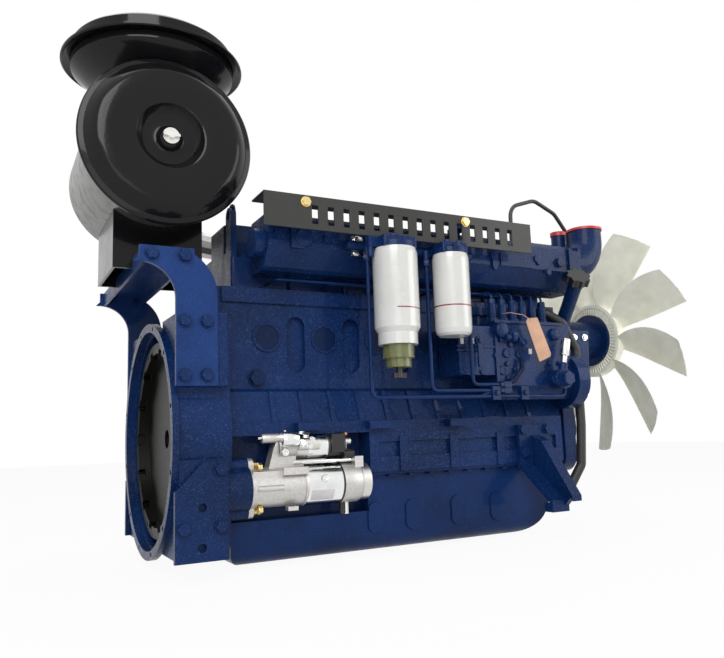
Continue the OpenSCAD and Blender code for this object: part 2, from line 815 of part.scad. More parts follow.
side_plate = [[1150, 100], [1150, 250], [1172, 275], [1240, 275], [1228, 112], [1197, 62], [1172, 62]];
side_hole_x = 1189;
side_hole_z = 235;
module timing_case() color("royalblue") {
    difference() {
        union() {
            along_x(block_x1, case_x1) union() {
                translate([-case_y, -bedplate_h]) square([2 * case_y, bedplate_h + deck_z]);
                translate([pump_y, pump_z - case_lobe_r]) square([-pump_y - case_y + over, 2 * case_lobe_r]);
                translate([pump_y, pump_z]) circle(case_lobe_r);
            }
            along_x(case_x1, front_x1)
                rounded(-front_y, front_y, front_z0, front_z1, 4 * rib_w);
            box(case_x1, boss_x1, -front_y - rib_t, -front_y + 7 * rib_w, front_y, neck_foot[2]);
        }
        // space of the gears, open through their bores only
        along_x(block_x1 + case_wall, case_x1 - case_wall) union() {
            circle(crank_teeth * gear_m / 2 + 2 * gear_m);
            translate([idler_y, idler_z]) circle(idler_teeth * gear_m / 2 + 2 * gear_m);
            translate([cam_y, cam_z]) circle(cam_teeth * gear_m / 2 + 2 * gear_m);
            translate([pump_y, pump_z]) circle(pump_teeth * gear_m / 2 + 1.6 * gear_m);
        }
        rod_x(main_r + over, block_x1 - over, block_x1 + case_wall + over, 0, 0);
        rod_x(snout_r + run, block_x1, front_x1 + over, 0, 0);
        rod_x(cam_r, block_x1 - over, block_x1 + case_wall + over, cam_y, cam_z);
        rod_x(shaft_r + run, block_x1 - over, block_x1 + case_wall + over, pump_y, pump_z);
        rod_x(fan_shaft_r + over, case_x1, front_x1 + over, 0, fan_z);
    }
    rod_x(idler_pin_r, block_x1 + case_wall, case_x1 - case_wall, idler_y, idler_z);
    // plate that stands forward beside the belts
    along_y(-front_y - 2 * rib_t, -front_y - rib_t + over)
        difference() {
            polygon(side_plate);
            translate([side_hole_x, side_hole_z]) circle(bolt_r);
        }
    // filler neck, rooted in its boss
    aim(neck_foot + unit(neck_foot - neck_top) * neck_cap_h, neck_top - neck_foot)
        rotate(90) cylinder(r = neck_r, h = norm(neck_top - neck_foot) + neck_cap_h);
}

module housing_outline() {
    translate([-block_y, -bedplate_h]) square([2 * block_y, deck_z + bedplate_h]);
    translate([-rail_y, -bedplate_h]) square([2 * rail_y, bedplate_h + slope_z]);
}

module adapter_outline(boss) {
    circle(adapter_r - boss_step);
    translate([-boss, -stud_pitch / 2]) square([2 * boss, stud_pitch]);
    for (s = [-1, 1]) translate([0, s * stud_pitch / 2]) circle(boss);
}
boss_step = 12;

module flywheel_housing() color("royalblue") difference() {
    union() {
        rod_x(flange_d / 2, 0, flange_t, 0, 0);
        rod_x(bell_r, flange_t, housing_len, 0, 0);
        both_sides() box(flange_t, pad_x1, -pad_y, -pad_depth, lower_pad_z0, lower_pad_z1);
        both_sides() box(flange_t, pad_x1, -pad_y, -pad_depth, upper_pad_z0, upper_pad_z1);
        both_sides() box(flange_t, housing_len - wall_t, -pad_y + rib_w, -pad_depth, -rib_w / 2, rib_w / 2);
        both_sides() box(flange_t, housing_len, -pad_y + 2 * rib_w, -pad_depth, lower_pad_z0 + 2 * rib_w,
            upper_pad_z1 - rib_w);
        along_x(housing_len - wall_t, housing_len) housing_outline();
        along_x(housing_len - wall_t, housing_len + adapter_len) translate([-starter_y, starter_z])
            adapter_outline(stud_boss_r);
    }
    rod_x(sae_bore_d / 2, -over, pilot_depth, 0, 0);
    rod_x(cavity_r, 0, housing_len - wall_t, 0, 0);
    rod_x(seal_r, 0, housing_len + over, 0, 0);
    rod_x(nose_r + run, ring_x0 - rib_w, housing_len + adapter_len + over, -starter_y, starter_z);
    for (i = [0 : 11]) rotate([30 * i + 15, 0, 0])
        rod_x(flange_hole_d / 2, -over, flange_t + over, sae_pcd / 2, 0);
    both_sides() for (p = mount_bolts) side_hole(p);
    both_sides() for (i = [2 : 5]) side_hole(arch_bolts[i]);
}

// Hole of a side bolt, from outside the plates to past the end of its shank
module side_hole(p)
    rod_y(bolt_r + bolt_play, -pad_y - 2 * mount_t, -pad_y + bolt_len, p[0], p[1]);

module rear_mount_plates() color("royalblue") both_sides() difference() {
    along_y(-pad_y - mount_t, -pad_y)
        polygon([[mount_x0, mount_z0], [mount_x1, mount_z0], [mount_x1, mount_z1],
            [mount_x0 + mount_chamfer, mount_z1], [mount_x0, mount_z1 - mount_chamfer]]);
    for (p = mount_bolts) side_hole(p);
    for (p = mount_eyes) rod_y(mount_eye_r, -pad_y - 2 * mount_t, -pad_y + over, p[0], p[1]);
}

arch_in_r = 76;
arch_out_r = 100;
module arch_bracket() color("royalblue") {
    both_sides() difference() {
        along_y(-pad_y - arch_t, -pad_y) difference() {
            union() {
                translate([arch_x0, channel_z]) square([arch_x1 - arch_x0 - arch_out_r / 2, channel_h]);
                translate([arch_foot_x, upper_pad_z0]) square([arch_x1 - arch_foot_x,
                    arch_top - upper_pad_z0 - arch_out_r]);
                translate([arch_foot_x - arch_in_r, channel_z - arch_in_r - over])
                    square([arch_x1 - arch_out_r - arch_foot_x + arch_in_r, arch_in_r + channel_h + over]);
                translate([arch_x1 - arch_out_r, arch_top - arch_out_r]) circle(arch_out_r);
            }
            translate([arch_foot_x - arch_in_r, channel_z - arch_in_r]) circle(arch_in_r);
            translate([arch_x0 - arch_out_r, channel_z - 3 * arch_in_r])
                square([arch_foot_x - arch_x0 + arch_out_r - arch_in_r, 3 * arch_in_r]);
            translate([arch_x0 - arch_out_r, 0]) square([arch_foot_x - arch_x0 + arch_out_r, channel_z - arch_in_r]);
        }
        for (p = arch_bolts) side_hole(p);
    }
    // cross channel, open below
    difference() {
        box(channel_x, channel_x + channel_w - rib_w, -pad_y, pad_y, channel_z, channel_z + channel_h);
        box(channel_x + channel_t, channel_x + channel_w - rib_w - channel_t, -pad_y + channel_t,
            pad_y - channel_t, channel_z - over, channel_z + channel_h - channel_t);
        both_sides() for (i = [0, 1]) side_hole(arch_bolts[i]);
    }
}

module painted_bolts() color("royalblue") {
    both_sides() for (p = mount_bolts) side_bolt(p[0], -pad_y - mount_t, p[1], bolt_r, mount_t + bolt_len / 2);
    both_sides() for (p = arch_bolts) side_bolt(p[0], -pad_y - arch_t, p[1], bolt_r, arch_t + channel_t / 2);
    both_sides() for (p = front_bolts) side_bolt(p[0], -rail_y - front_t, p[1], bolt_r, 0);
    for (x = [man_x0 + 0.6 * man_cap, man_x1 - 2 * man_cap])
        side_bolt(x, -manifold_y, man_face_z + 2 * rib_w, bolt_r, 0);
    both_sides() for (i = [0 : cylinders - 1], s = [-1, 1])
        translate([cyl_x(i) + s * 0.27 * bore_pitch, -head_y + 2 * bolt_r + head_r, deck_z + 0.82 * head_h])
            bolt_head(bolt_r);
}

module air_cleaner_body() color("dimgray") difference() {
    union() {
        rod_y(cleaner_d / 2, cleaner_y0, cleaner_y1, cleaner_x, cleaner_z);
        rod_y(duct_r, cleaner_y1, cleaner_y1 + 2 * rib_w, cleaner_x, cleaner_z);
        rod_z(cap_neck_r, cleaner_z, cleaner_top + rib_w, cleaner_x, cap_y);
    }
    rod_y(cleaner_d / 2 - cleaner_t, cleaner_y0 - over, cleaner_y1 - cleaner_t, cleaner_x, cleaner_z);
    rod_y(outlet_bore_r, cleaner_y0, cleaner_y1 + 2 * rib_w + over, cleaner_x, cleaner_z);
    rod_z(cap_neck_r - cleaner_t, cleaner_z, cleaner_top + rib_w + over, cleaner_x, cap_y);
}
cap_neck_r = 95;
cleaner_top = cleaner_z + cleaner_d / 2;

// Half section of the cover: rolled rim, domed face and the dish round the wing nut
module cover_section()
    polygon([[0, 0], [rim_r - over, 0], [rim_r - over, -cleaner_t], [cleaner_d / 2 + seat, -cleaner_t],
        [cleaner_d / 2 + seat, -rim_t / 2], [rim_r, -rim_t / 2], [rim_r, rim_t / 2],
        [rim_r - rim_t / 2, rim_t], [cover_r1, cover_bulge - rim_t / 2], [cover_r1 - rim_t, cover_bulge],
        [dish_r + dish_h, cover_bulge], [dish_r, cover_bulge - dish_h], [nut_r, cover_bulge - dish_h],
        [nut_r - rim_t / 4, cover_bulge - dish_h / 2], [0, cover_bulge - dish_h / 2]]);

module air_cleaner_cover() color("black")
    translate([cleaner_x, cleaner_y0, cleaner_z]) rotate([90, 0, 0]) rotate_extrude() cover_section();

module air_filter_element() color("khaki") difference() {
    rod_y(0.72 * cleaner_d / 2, cleaner_y0 + rim_t, cleaner_y1 - cleaner_t, cleaner_x, cleaner_z);
    rod_y(0.42 * cleaner_d / 2, cleaner_y0 + 2 * rim_t, cleaner_y1, cleaner_x, cleaner_z);
}

module wing_nut() color("silver") translate([cleaner_x, cleaner_y0 - cover_bulge + dish_h / 2, cleaner_z])
    rotate([90, 0, 0]) {
        cylinder(r = nut_r - rim_t / 4, h = cleaner_t);
        cylinder(r = nut_r / 3, h = dish_h);
        translate([-nut_r + rim_t / 4, -cleaner_t, 0]) cube([2 * nut_r - rim_t / 2, 2 * cleaner_t, dish_h]);
    }

saddle_w = 150;
module air_cleaner_saddle() color("black") difference() {
    box(channel_x - 3.5 * rib_w, channel_x + channel_w + 4 * rib_w, -saddle_w, saddle_w / 2,
        channel_z + rib_w, cleaner_z - cleaner_d / 2 + 3 * rib_w);
    box(channel_x - seat, channel_x + channel_w + seat, -saddle_w - over, saddle_w, channel_z,
        channel_z + channel_h);
    rod_y(cleaner_d / 2 + seat, -saddle_w - over, saddle_w, cleaner_x, cleaner_z);
    box(channel_x - 3 * rib_w, channel_x + channel_w + 3.5 * rib_w, -saddle_w + rib_w / 2,
        saddle_w / 2 - rib_w / 2, channel_z, cleaner_z);
}

// Half section of the rain cap: floor, flared brim with a bead, upright band and low crown
cap_r = cap_d / 2;
module rain_section()
    polygon([[cap_neck_r + cleaner_t, over], [band_r, over], [cap_r - rib_t, -over], [cap_r - cleaner_t, -2 * over],
        [cap_r, -over], [cap_r, over], [cap_r - rib_t, 2 * over], [band_r + 2 * over, 0.24 * cap_h],
        [band_r, 0.32 * cap_h], [band_r, 0.68 * cap_h], [0.97 * band_r, 0.8 * cap_h], [0.9 * band_r, 0.87 * cap_h],
        [0.4 * band_r, 0.96 * cap_h], [0, cap_h], [0, 0.94 * cap_h], [0.4 * band_r, 0.9 * cap_h],
        [0.89 * band_r, 0.8 * cap_h], [band_r - 2 * over, 0.65 * cap_h], [band_r - 2 * over, 0.2 * cap_h],
        [cap_neck_r + cleaner_t, 3 * over]]);
module rain_cap() color("black") {
    translate([cleaner_x, cap_y, cap_z]) rotate_extrude() rain_section();
    difference() {
        rod_z(cap_neck_r + 2 * cleaner_t, cleaner_top + rib_w / 3, cap_z + 3 * over, cleaner_x, cap_y);
        rod_z(cap_neck_r + seat, cleaner_top, cap_z + rib_w, cleaner_x, cap_y);
    }
}

turbo_half = 110;
turbo_in_x = turbo_x - turbo_half;
duct_y = 216;
duct_low_x = 186;
duct_low_z = 550;
module intake_duct() color("silver")
    pipe([[cleaner_x, cleaner_y1 + 2 * rib_w, cleaner_z], [cleaner_x, duct_y, cleaner_z],
        [duct_low_x, duct_y, duct_low_z], [turbo_in_x - duct_bend, turbo_y, turbo_z],
        [turbo_in_x, turbo_y, turbo_z]], duct_r, duct_bend, 12);

rotor_r = 8;
function turbo_at(share) = turbo_x + share * turbo_half;
module turbo_housing() color("dimgray") difference() {
    union() {
        rod_x(compressor_r, turbo_at(-0.73), turbo_at(-0.22), turbo_y, turbo_z);
        rod_x(duct_r, turbo_in_x, turbo_at(-0.73), turbo_y, turbo_z);
        rod_x(0.45 * compressor_r, turbo_at(-0.22), turbo_at(0.22), turbo_y, turbo_z);
        rod_x(turbine_r, turbo_at(0.22), turbo_at(0.67), turbo_y, turbo_z);
        rod_x(inlet_r, turbo_at(0.67), turbo_at(1), turbo_y, turbo_z);
        rod_z(exhaust_r, exhaust_z + exhaust_r + rib_w, turbo_z, turbo_at(0.45), turbo_y);
        rod_y(exhaust_r, turbo_y, turbo_y + compressor_r + rib_w, turbo_at(-0.47), turbo_z + 0.55 * compressor_r);
    }
    rod_x(rotor_r + run, turbo_at(-0.73), turbo_at(0.67), turbo_y, turbo_z);
    rod_x(outlet_bore_r, turbo_in_x - over, turbo_at(-0.58), turbo_y, turbo_z);
    rod_x(0.6 * inlet_r + 3 * over, turbo_at(-0.6), turbo_at(-0.36), turbo_y, turbo_z);
    rod_x(0.6 * inlet_r + 3 * over, turbo_at(0.36), turbo_at(1.1), turbo_y, turbo_z);
}

module turbo_rotor() color("silver") {
    rod_x(rotor_r, turbo_at(-0.64), turbo_at(0.64), turbo_y, turbo_z);
    rod_x(0.6 * inlet_r, turbo_at(-0.56), turbo_at(-0.4), turbo_y, turbo_z);
    rod_x(0.6 * inlet_r, turbo_at(0.4), turbo_at(0.56), turbo_y, turbo_z);
    for (i = [0 : 5]) translate([0, turbo_y, turbo_z]) rotate([60 * i, 0, 0])
        box(turbo_at(-0.62), turbo_at(-0.54), 0, 0.6 * inlet_r + over, -over / 2, over / 2);
}

module exhaust_manifold() color("saddlebrown") {
    rod_x(exhaust_r, cyl_x0 - exhaust_r, cyl_x(cylinders - 1) + exhaust_r, exhaust_y, exhaust_z);
    for (i = [0 : cylinders - 1]) {
        rod_y(0.75 * exhaust_r, head_y, exhaust_y, cyl_x(i), exhaust_z);
        along_y(head_y, head_y + rib_w) rounded(cyl_x(i) - 1.4 * exhaust_r, cyl_x(i) + 1.4 * exhaust_r,
            exhaust_z - exhaust_r, exhaust_z + 0.9 * exhaust_r, rib_w);
    }
    rod_z(exhaust_r, exhaust_z, exhaust_z + exhaust_r + rib_w, turbo_at(0.45), turbo_y);
}

man_cap = 40;
module manifold_outline()
    polygon([[-head_y, man_z0], [-manifold_y + 4 * rib_w, man_z0], [-manifold_y + 3 * rib_w, man_z0 + rib_t],
        [-manifold_y, man_face_z], [-manifold_y, man_z1 - rib_w], [-manifold_y + rib_w, man_z1],
        [-head_y - rib_w, man_z1], [-head_y, man_z1 - rib_w]]);
man_plug_r = 33;
man_pad_x0 = 877;
man_pad_x1 = 996;
module intake_manifold() color("royalblue") {
    along_x(man_x0, man_x1) manifold_outline();
    rod_x(man_plug_r, man_x0 - 2 * rib_w, man_x0, -manifold_y + 4 * rib_w, man_face_z + rib_w);
    box(man_pad_x0, man_pad_x1, -manifold_y - rib_t / 2, -manifold_y, man_face_z, man_face_z + 2.5 * rib_w);
    for (x = [man_pad_x0 - 2 * rib_w, man_pad_x1 + rib_w])
        rod_y(rib_w, -manifold_y - rib_t, -manifold_y, x, man_face_z + 2 * rib_w);
}

// Elbow that turns up from the front end of the manifold
module intake_elbow() color("royalblue") difference() {
    union() {
        along_x(man_x1, man_x1 + elbow_flange_t) translate([-elbow_y, elbow_z])
            rounded(-elbow_r + over, elbow_r - over, -elbow_r + over, elbow_r - over, rib_w);
        translate([man_x1, -elbow_y, elbow_z + elbow_bend]) rotate([90, 0, 0]) rotate([0, 0, -90])
            rotate_extrude(angle = 90) translate([elbow_bend, 0]) circle(elbow_r);
        rod_z(elbow_r, elbow_z + elbow_bend, elbow_top, man_x1 + elbow_bend, -elbow_y);
    }
    rod_z(elbow_r - 2 * cleaner_t, elbow_z + elbow_bend, elbow_top + over, man_x1 + elbow_bend, -elbow_y);
}

small_cap_r = 24;
module protection_caps() color("firebrick") {
    difference() {
        rod_z(elbow_r + cleaner_t, elbow_top, elbow_top + rib_t, man_x1 + elbow_bend, -elbow_y);
        rod_z(elbow_r - 2 * cleaner_t, elbow_top - over, elbow_top + rib_t + over, man_x1 + elbow_bend, -elbow_y);
    }
    rod_z(small_cap_r, outlet_z, outlet_z + rib_w, outlet_x, -outlet_y);
}

module guard_plate() color("dimgray") difference() {
    union() {
        box(guard_x0, guard_x0 + guard_len, -guard_y, -guard_y + guard_t, guard_z0, guard_z1);
        box(guard_x0, guard_x0 + guard_len, -guard_y, -guard_y + guard_fold, guard_z1 - guard_t, guard_z1);
    }
    along_y(-guard_y - over, -guard_y + guard_t + over) for (i = [0 : slot_count - 1])
        translate([slot_x0 + i * slot_pitch, (guard_z0 + guard_z1 - slot_h) / 2 - guard_t]) square([slot_w, slot_h]);
}

// Strap from the manifold face out to the back of the guard plate
module strap_outline(z0)
    polygon([[-manifold_y, z0], [-manifold_y - strap_t, z0], [-manifold_y - strap_t, guard_z1 - 4 * strap_t],
        [-guard_y + guard_t, guard_z1 - 4 * strap_t], [-guard_y + guard_t, guard_z1 - guard_t],
        [-guard_y + guard_t + strap_t, guard_z1 - guard_t], [-guard_y + guard_t + strap_t, guard_z1 - 3 * strap_t],
        [-manifold_y, guard_z1 - 3 * strap_t]]);

eye_r = 20;
eye_y = 127;
eye_z = 533;
module top_brackets() color("royalblue") {
    for (p = [[strap_x0, man_face_z - rib_t], [strap_x1, filter_head_z + rib_w / 2]])
        along_x(p[0] - strap_w / 2, p[0] + strap_w / 2) strap_outline(p[1]);
    for (x = [cyl_x0 - bore_pitch / 2 + head_r, cyl_x(cylinders - 1) + bore_pitch / 2 - head_r]) difference() {
        along_x(x - rib_t, x + rib_t) union() {
            translate([-eye_y - eye_r, deck_z + 0.82 * head_h]) square([2 * eye_r, eye_z - deck_z - 0.82 * head_h]);
            translate([-eye_y, eye_z]) circle(eye_r);
        }
        rod_x(eye_r / 2, x - rib_w, x + rib_w, -eye_y, eye_z);
    }
}

module brass_fasteners() color("gold") {
    for (x = [strap_x0, strap_x1]) side_bolt(x, -guard_y, guard_z1 - 2 * guard_t - bolt_r, 0.8 * bolt_r, 0);
    for (s = [-1, 1]) translate([starter_x0 + starter_flange_t, -starter_y, starter_z + s * stud_pitch / 2])
        rotate([0, 90, 0]) bolt_head(0.8 * bolt_r);
}

module filter_canisters() color("white") {
    translate([prefilter_x, -filter_y, prefilter_z0]) rotate_extrude()
        polygon([[0, -collar_h], [0.87 * prefilter_d / 2, -collar_h], [0.87 * prefilter_d / 2, -rib_w / 2],
            [prefilter_d / 2, rib_w / 2], [prefilter_d / 2, canister_z1 - prefilter_z0 - rib_w],
            [0.94 * prefilter_d / 2, canister_z1 - prefilter_z0], [0, canister_z1 - prefilter_z0]]);
    translate([filter_x, -filter_y, filter_z0]) rotate_extrude()
        polygon([[0, 0], [0.8 * filter_d / 2, 0], [0.95 * filter_d / 2, rib_w / 2], [filter_d / 2, 1.4 * rib_w],
            [filter_d / 2, canister_z1 - filter_z0 - rib_w], [0.94 * filter_d / 2, canister_z1 - filter_z0],
            [0, canister_z1 - filter_z0]]);
}

module separator_bowl() color("olive") difference() {
    union() {
        rod_z(bowl_r, prefilter_z0 - collar_h - 0.6 * bowl_h, prefilter_z0 - collar_h, prefilter_x, -filter_y);
        rod_z(0.8 * bowl_r, prefilter_z0 - collar_h - bowl_h, prefilter_z0 - collar_h, prefilter_x, -filter_y);
    }
    rod_z(drain_r + run, prefilter_z0 - collar_h - bowl_h - over, prefilter_z0 - collar_h - 0.6 * bowl_h,
        prefilter_x, -filter_y);
}

module drain_valve() color("dimgray") {
    z = prefilter_z0 - collar_h - bowl_h;
    rod_z(drain_r, z - 2 * rib_w, z + rib_w, prefilter_x, -filter_y);
    box(prefilter_x - 2.4 * drain_r, prefilter_x + 2.4 * drain_r, -filter_y - drain_r / 2, -filter_y + drain_r / 2,
        z - 2 * rib_w, z - rib_w);
}

module filter_heads() color("royalblue") {
    for (f = [[prefilter_x, prefilter_d], [filter_x, filter_d]]) {
        rod_z(0.47 * f[1], canister_z1, (canister_z1 + filter_head_z) / 2, f[0], -filter_y);
        along_z(canister_z1, filter_head_z) rounded(f[0] - 0.42 * f[1], f[0] + 0.42 * f[1], -filter_y - 0.3 * f[1],
            -manifold_y, rib_w / 2);
    }
    rod_x(rib_w, prefilter_x - prefilter_d, filter_x + filter_d, -manifold_y - 1.4 * rib_w, filter_bar_z);
    for (x = line_places) rod_z(union_r, filter_bar_z - union_h, filter_bar_z, x, -line_y);
    // inlet spigot at the back of the first head
    rod_z(union_r, filter_bar_z - 1.5 * union_h, filter_bar_z, prefilter_x - 0.6 * prefilter_d, -filter_y - seat);
    box(prefilter_x - 0.68 * prefilter_d, prefilter_x - 0.3 * prefilter_d, -filter_y - union_r, -filter_y + union_r,
        canister_z1 + over, filter_head_z);
}
filter_bar_z = (canister_z1 + filter_head_z) / 2;
line_places = [prefilter_x - prefilter_d / 2 - union_r / 2, filter_x - filter_d / 2 - union_r / 2 - over,
    filter_x + filter_d / 2 + 3 * union_r + over];

module fuel_lines() color("royalblue") {
    z_top = filter_bar_z - union_h - seat / 2;
    riser = inj_x0 + 6 * valve_pitch;
    pipe([[line_places[0], -line_y, z_top], [line_places[0], -line_y, line_z], [riser, -line_y, line_z],
        [riser, -line_y, pump_z - feed_r - seat]], line_r, line_bend);
    for (i = [1, 2])
        pipe([[line_places[i], -line_y, z_top], [line_places[i], -line_y, line_z + 3 * i * line_r],
            [inj_x0 - seat / 2, -line_y, line_z + 3 * i * line_r]], line_r, line_bend);
}

module pump_outline()
    polygon([[-inj_y1, inj_z1], [-inj_y0, inj_z1], [-inj_y0, inj_z0 + 3 * rib_w], [-inj_y0 + 1.5 * rib_w, inj_z0],
        [-rail_y + rib_w, inj_z0], [-ledge_y - rib_t, ledge_z], [-inj_y1, ledge_z + rib_t]]);

module injection_pump() color("royalblue") {
    difference() {
        union() {
            along_x(inj_x0, block_x1) pump_outline();
            box(gov_x0, inj_x0, -inj_y0, -inj_y1 - rib_t, gov_z0, gov_z1);
            box(gov_x0 - rib_t, inj_x0, -inj_y0 - rib_t / 2, -inj_y1 - rib_t, gov_z0 + 0.55 * (gov_z1 - gov_z0),
                gov_z0 + 0.6 * (gov_z1 - gov_z0));
            // inlet unions of the two upper fuel lines
            for (i = [1, 2]) box(inj_x0, inj_x0 + 2 * rib_w, -line_y - rib_t, -inj_y0 + 2 * rib_w,
                line_z + 3 * i * line_r - rib_t, line_z + 3 * i * line_r + rib_t);
        }
        rod_x(shaft_r + run, block_x1 - shaft_in - over, block_x1 + over, pump_y, pump_z);
        rod_y(lever_r + run, -inj_y0 - over, -inj_y0 + 2 * rib_w, lever_x, lever_z);
    }
    // delivery valves
    for (i = [0 : cylinders - 1]) {
        rod_z(valve_r + over, inj_z1, inj_z1 + rib_w, valve_x0 + i * valve_pitch, -valve_y);
        rod_z(valve_r, inj_z1, inj_z1 + valve_h, valve_x0 + i * valve_pitch, -valve_y);
    }
}

// One line for each cylinder, each in its own lane beside the deck
module injection_lines() color("royalblue") for (i = [0 : cylinders - 1]) {
    x = valve_x0 + i * valve_pitch;
    lane = -jet_lane + i * jet_step;
    c = cyl_x(i) + (i == cylinders - 1 ? -1 : 1) * rib_w;
    pipe([[x, -valve_y, inj_z1 + valve_h], [x, -valve_y, jet_z], [x - rib_w, lane, jet_z],
        [c, lane, jet_z], [c, -head_y, jet_z]], jet_r, jet_bend);
}

feed_x = 1027;
feed_r = 26;
feed_y1 = 330;
primer_foot = [1036, -316, 165];
primer_dir = [18, 0, 78];
primer_r = 12.5;
primer_h = 66;
primer_stem_r = 5;
module feed_pump() color("royalblue") difference() {
    union() {
        rod_y(feed_r, -feed_y1, -inj_y0, feed_x, pump_z);
        aim(primer_foot - unit(primer_dir) * feed_r, primer_dir) cylinder(r = primer_r, h = feed_r);
        rod_z(union_r, pump_z - feed_r, pump_z, inj_x0 + 6 * valve_pitch, -line_y);
    }
    aim(primer_foot - unit(primer_dir) * feed_r * 0.9, primer_dir) cylinder(r = primer_stem_r + run, h = feed_r);
}

module primer_plunger() color("silver") {
    aim(primer_foot + unit(primer_dir) * seat, primer_dir) cylinder(r = primer_r, h = primer_h);
    aim(primer_foot - unit(primer_dir) * feed_r * 0.8, primer_dir) cylinder(r = primer_stem_r, h = feed_r);
}

lever_x = 770;
lever_z = 222;
lever_r = 7;
lever_len = 62;
module throttle_lever() color("silver") {
    rod_y(lever_r, -inj_y0 - 2 * rib_w, -inj_y0 + rib_w, lever_x, lever_z);
    along_y(-inj_y0 - 1.5 * rib_w, -inj_y0 - rib_w) union() {
        translate([lever_x, lever_z]) circle(1.7 * lever_r);
        translate([lever_x - lever_r, lever_z - lever_len]) square([2 * lever_r, lever_len]);
        translate([lever_x, lever_z - lever_len]) circle(lever_r);
    }
}

module starter_housing() color("lightgray") difference() {
    union() {
        rod_x(nose_r, block_x0 - over, starter_x0, -starter_y, starter_z);
        along_x(starter_x0, starter_x0 + starter_flange_t) translate([-starter_y, starter_z]) union() {
            circle(starter_r + over);
            translate([-stud_boss_r, -stud_pitch / 2]) square([2 * stud_boss_r, stud_pitch]);
            for (s = [-1, 1]) translate([0, s * stud_pitch / 2]) circle(stud_boss_r - over);
        }
        rod_x(starter_r, starter_x0, yoke_x0, -starter_y, starter_z);
        // hump that rises to the solenoid
        along_y(-starter_y - 0.6 * solenoid_r, -starter_y + 0.6 * solenoid_r)
            polygon([[starter_x0 + 3 * rib_w, starter_z], [yoke_x0, starter_z], [yoke_x0, starter_z + starter_r + rib_t],
                [solenoid_x0, starter_z + starter_r + rib_t], [solenoid_x0, solenoid_z + solenoid_r],
                [starter_x0 + 6 * rib_w, solenoid_z + solenoid_r], [starter_x0 + 5 * rib_w, solenoid_z]]);
        rod_x(solenoid_r - over, starter_x0 + 6 * rib_w, solenoid_x0, -starter_y, solenoid_z);
        rod_x(rib_w / 2, starter_x0 + starter_flange_t, starter_x0 + 6 * rib_w, -starter_y - starter_r, starter_z);
    }
    rod_x(pinion_sleeve_r + run, block_x0 - rib_w, starter_x0 + 2 * rib_w, -starter_y, starter_z);
    for (s = [-1, 1]) rod_x(rib_w + over, starter_x0 + starter_flange_t, starter_x0 + 3.5 * rib_w, -starter_y,
        starter_z + s * stud_pitch / 2);
}

module starter_yoke() color("silver") {
    rod_x(yoke_r, yoke_x0, yoke_x1, -starter_y, starter_z);
    rod_x(yoke_r - over, yoke_x1, starter_end_x, -starter_y, starter_z);
    rod_z(rib_w / 2, starter_z - 1.62 * yoke_r, starter_z, yoke_x1 + rib_w / 2, -starter_y);
}

relay_r = 14;
module starter_solenoid() color("gray") {
    rod_x(solenoid_r, solenoid_x0, solenoid_x1, -starter_y, solenoid_z);
    rod_x(solenoid_r + over, solenoid_x1, solenoid_cap_x, -starter_y, solenoid_z);
    rod_x(relay_r, solenoid_x0, solenoid_x1 - 2 * rib_w, -starter_y - solenoid_r, solenoid_z + 0.3 * solenoid_r);
    rod_x(bolt_r, solenoid_cap_x, solenoid_cap_x + 1.5 * rib_w, -starter_y - solenoid_r / 3, solenoid_z + 0.4 * solenoid_r);
}

module starter_pinion() color("gray") {
    along_x(pinion_x0, pinion_x0 + pinion_len) translate([-starter_y, starter_z])
        polygon(gear_points(pinion_teeth, ring_m, tooth_play, pinion_phase));
    rod_x(pinion_sleeve_r, pinion_x0, starter_x0, -starter_y, starter_z);
}

front_bolts = [[front_x0 + rib_w, front_z_top - rib_w], [front_x1b - rib_w, front_z_top - rib_w],
    [front_x0 + rib_w, front_z_low / 2 - rib_w]];
front_web_x = 966;
front_lip = 17;
front_foot_w = 30;
front_arm = [[-rail_y - front_t, -23], [-rail_y - front_t, -113], [-358, -200], [-386, -175], [-285, -38]];
front_foot_z = -215;
module front_mount_brackets() color("royalblue") both_sides() {
    box(front_x0, front_x1b, -rail_y - front_t, -rail_y, front_z_low, front_z_top);
    along_x(front_web_x, front_web_x + front_t) polygon(front_arm);
    along_x(front_x0, front_web_x + over)
        polygon([front_arm[1], front_arm[2], front_arm[2] + [0, front_t], front_arm[1] + [0, front_t]]);
    along_x(front_web_x, front_web_x + front_t + front_lip)
        polygon([front_arm[0], front_arm[4], front_arm[3], front_arm[3] - [0, front_t],
            front_arm[4] - [0, front_t], front_arm[0] - [0, front_t]]);
    box(front_x0, front_web_x + front_t, front_arm[2][0], front_arm[2][0] + front_foot_w, front_foot_z,
        front_arm[2][1] + rib_t);
}

outlet_x = 1210;
outlet_y = 150;
outlet_z = 577;
module coolant_housing() color("royalblue") {
    difference() {
        union() {
            rod_x(coolant_r, front_x1, coolant_x1, 0, fan_z);
            along_x(front_x1, coolant_x1) rounded(-coolant_r, coolant_r, fan_z - 1.6 * coolant_r, fan_z, rib_w);
        }
        rod_x(fan_shaft_r + run, front_x1 - over, coolant_x1 + over, 0, fan_z);
        rod_x(2 * snout_r, front_x1 - over, coolant_x1 + over, 0, 0);
    }
    box(block_x1 - end_margin / 3, case_x1, -head_y + 2 * rib_w, 0, deck_z, outlet_z - 2 * rib_w);
    rod_x(small_cap_r, case_x1 - over, outlet_x, -outlet_y + 3 * rib_w, outlet_z - 3.5 * rib_w);
    rod_y(small_cap_r, -outlet_y, -outlet_y + 3 * rib_w, outlet_x, outlet_z - 3.5 * rib_w);
    rod_z(small_cap_r - over, outlet_z - 3.5 * rib_w, outlet_z, outlet_x, -outlet_y);
    rod_x(union_r, outlet_x, vent_x + union_r, -outlet_y, vent_z - rib_w);
    rod_z(union_r, vent_z - rib_w, vent_z, vent_x, -outlet_y);
}
vent_x = 1249;
vent_z = 556;

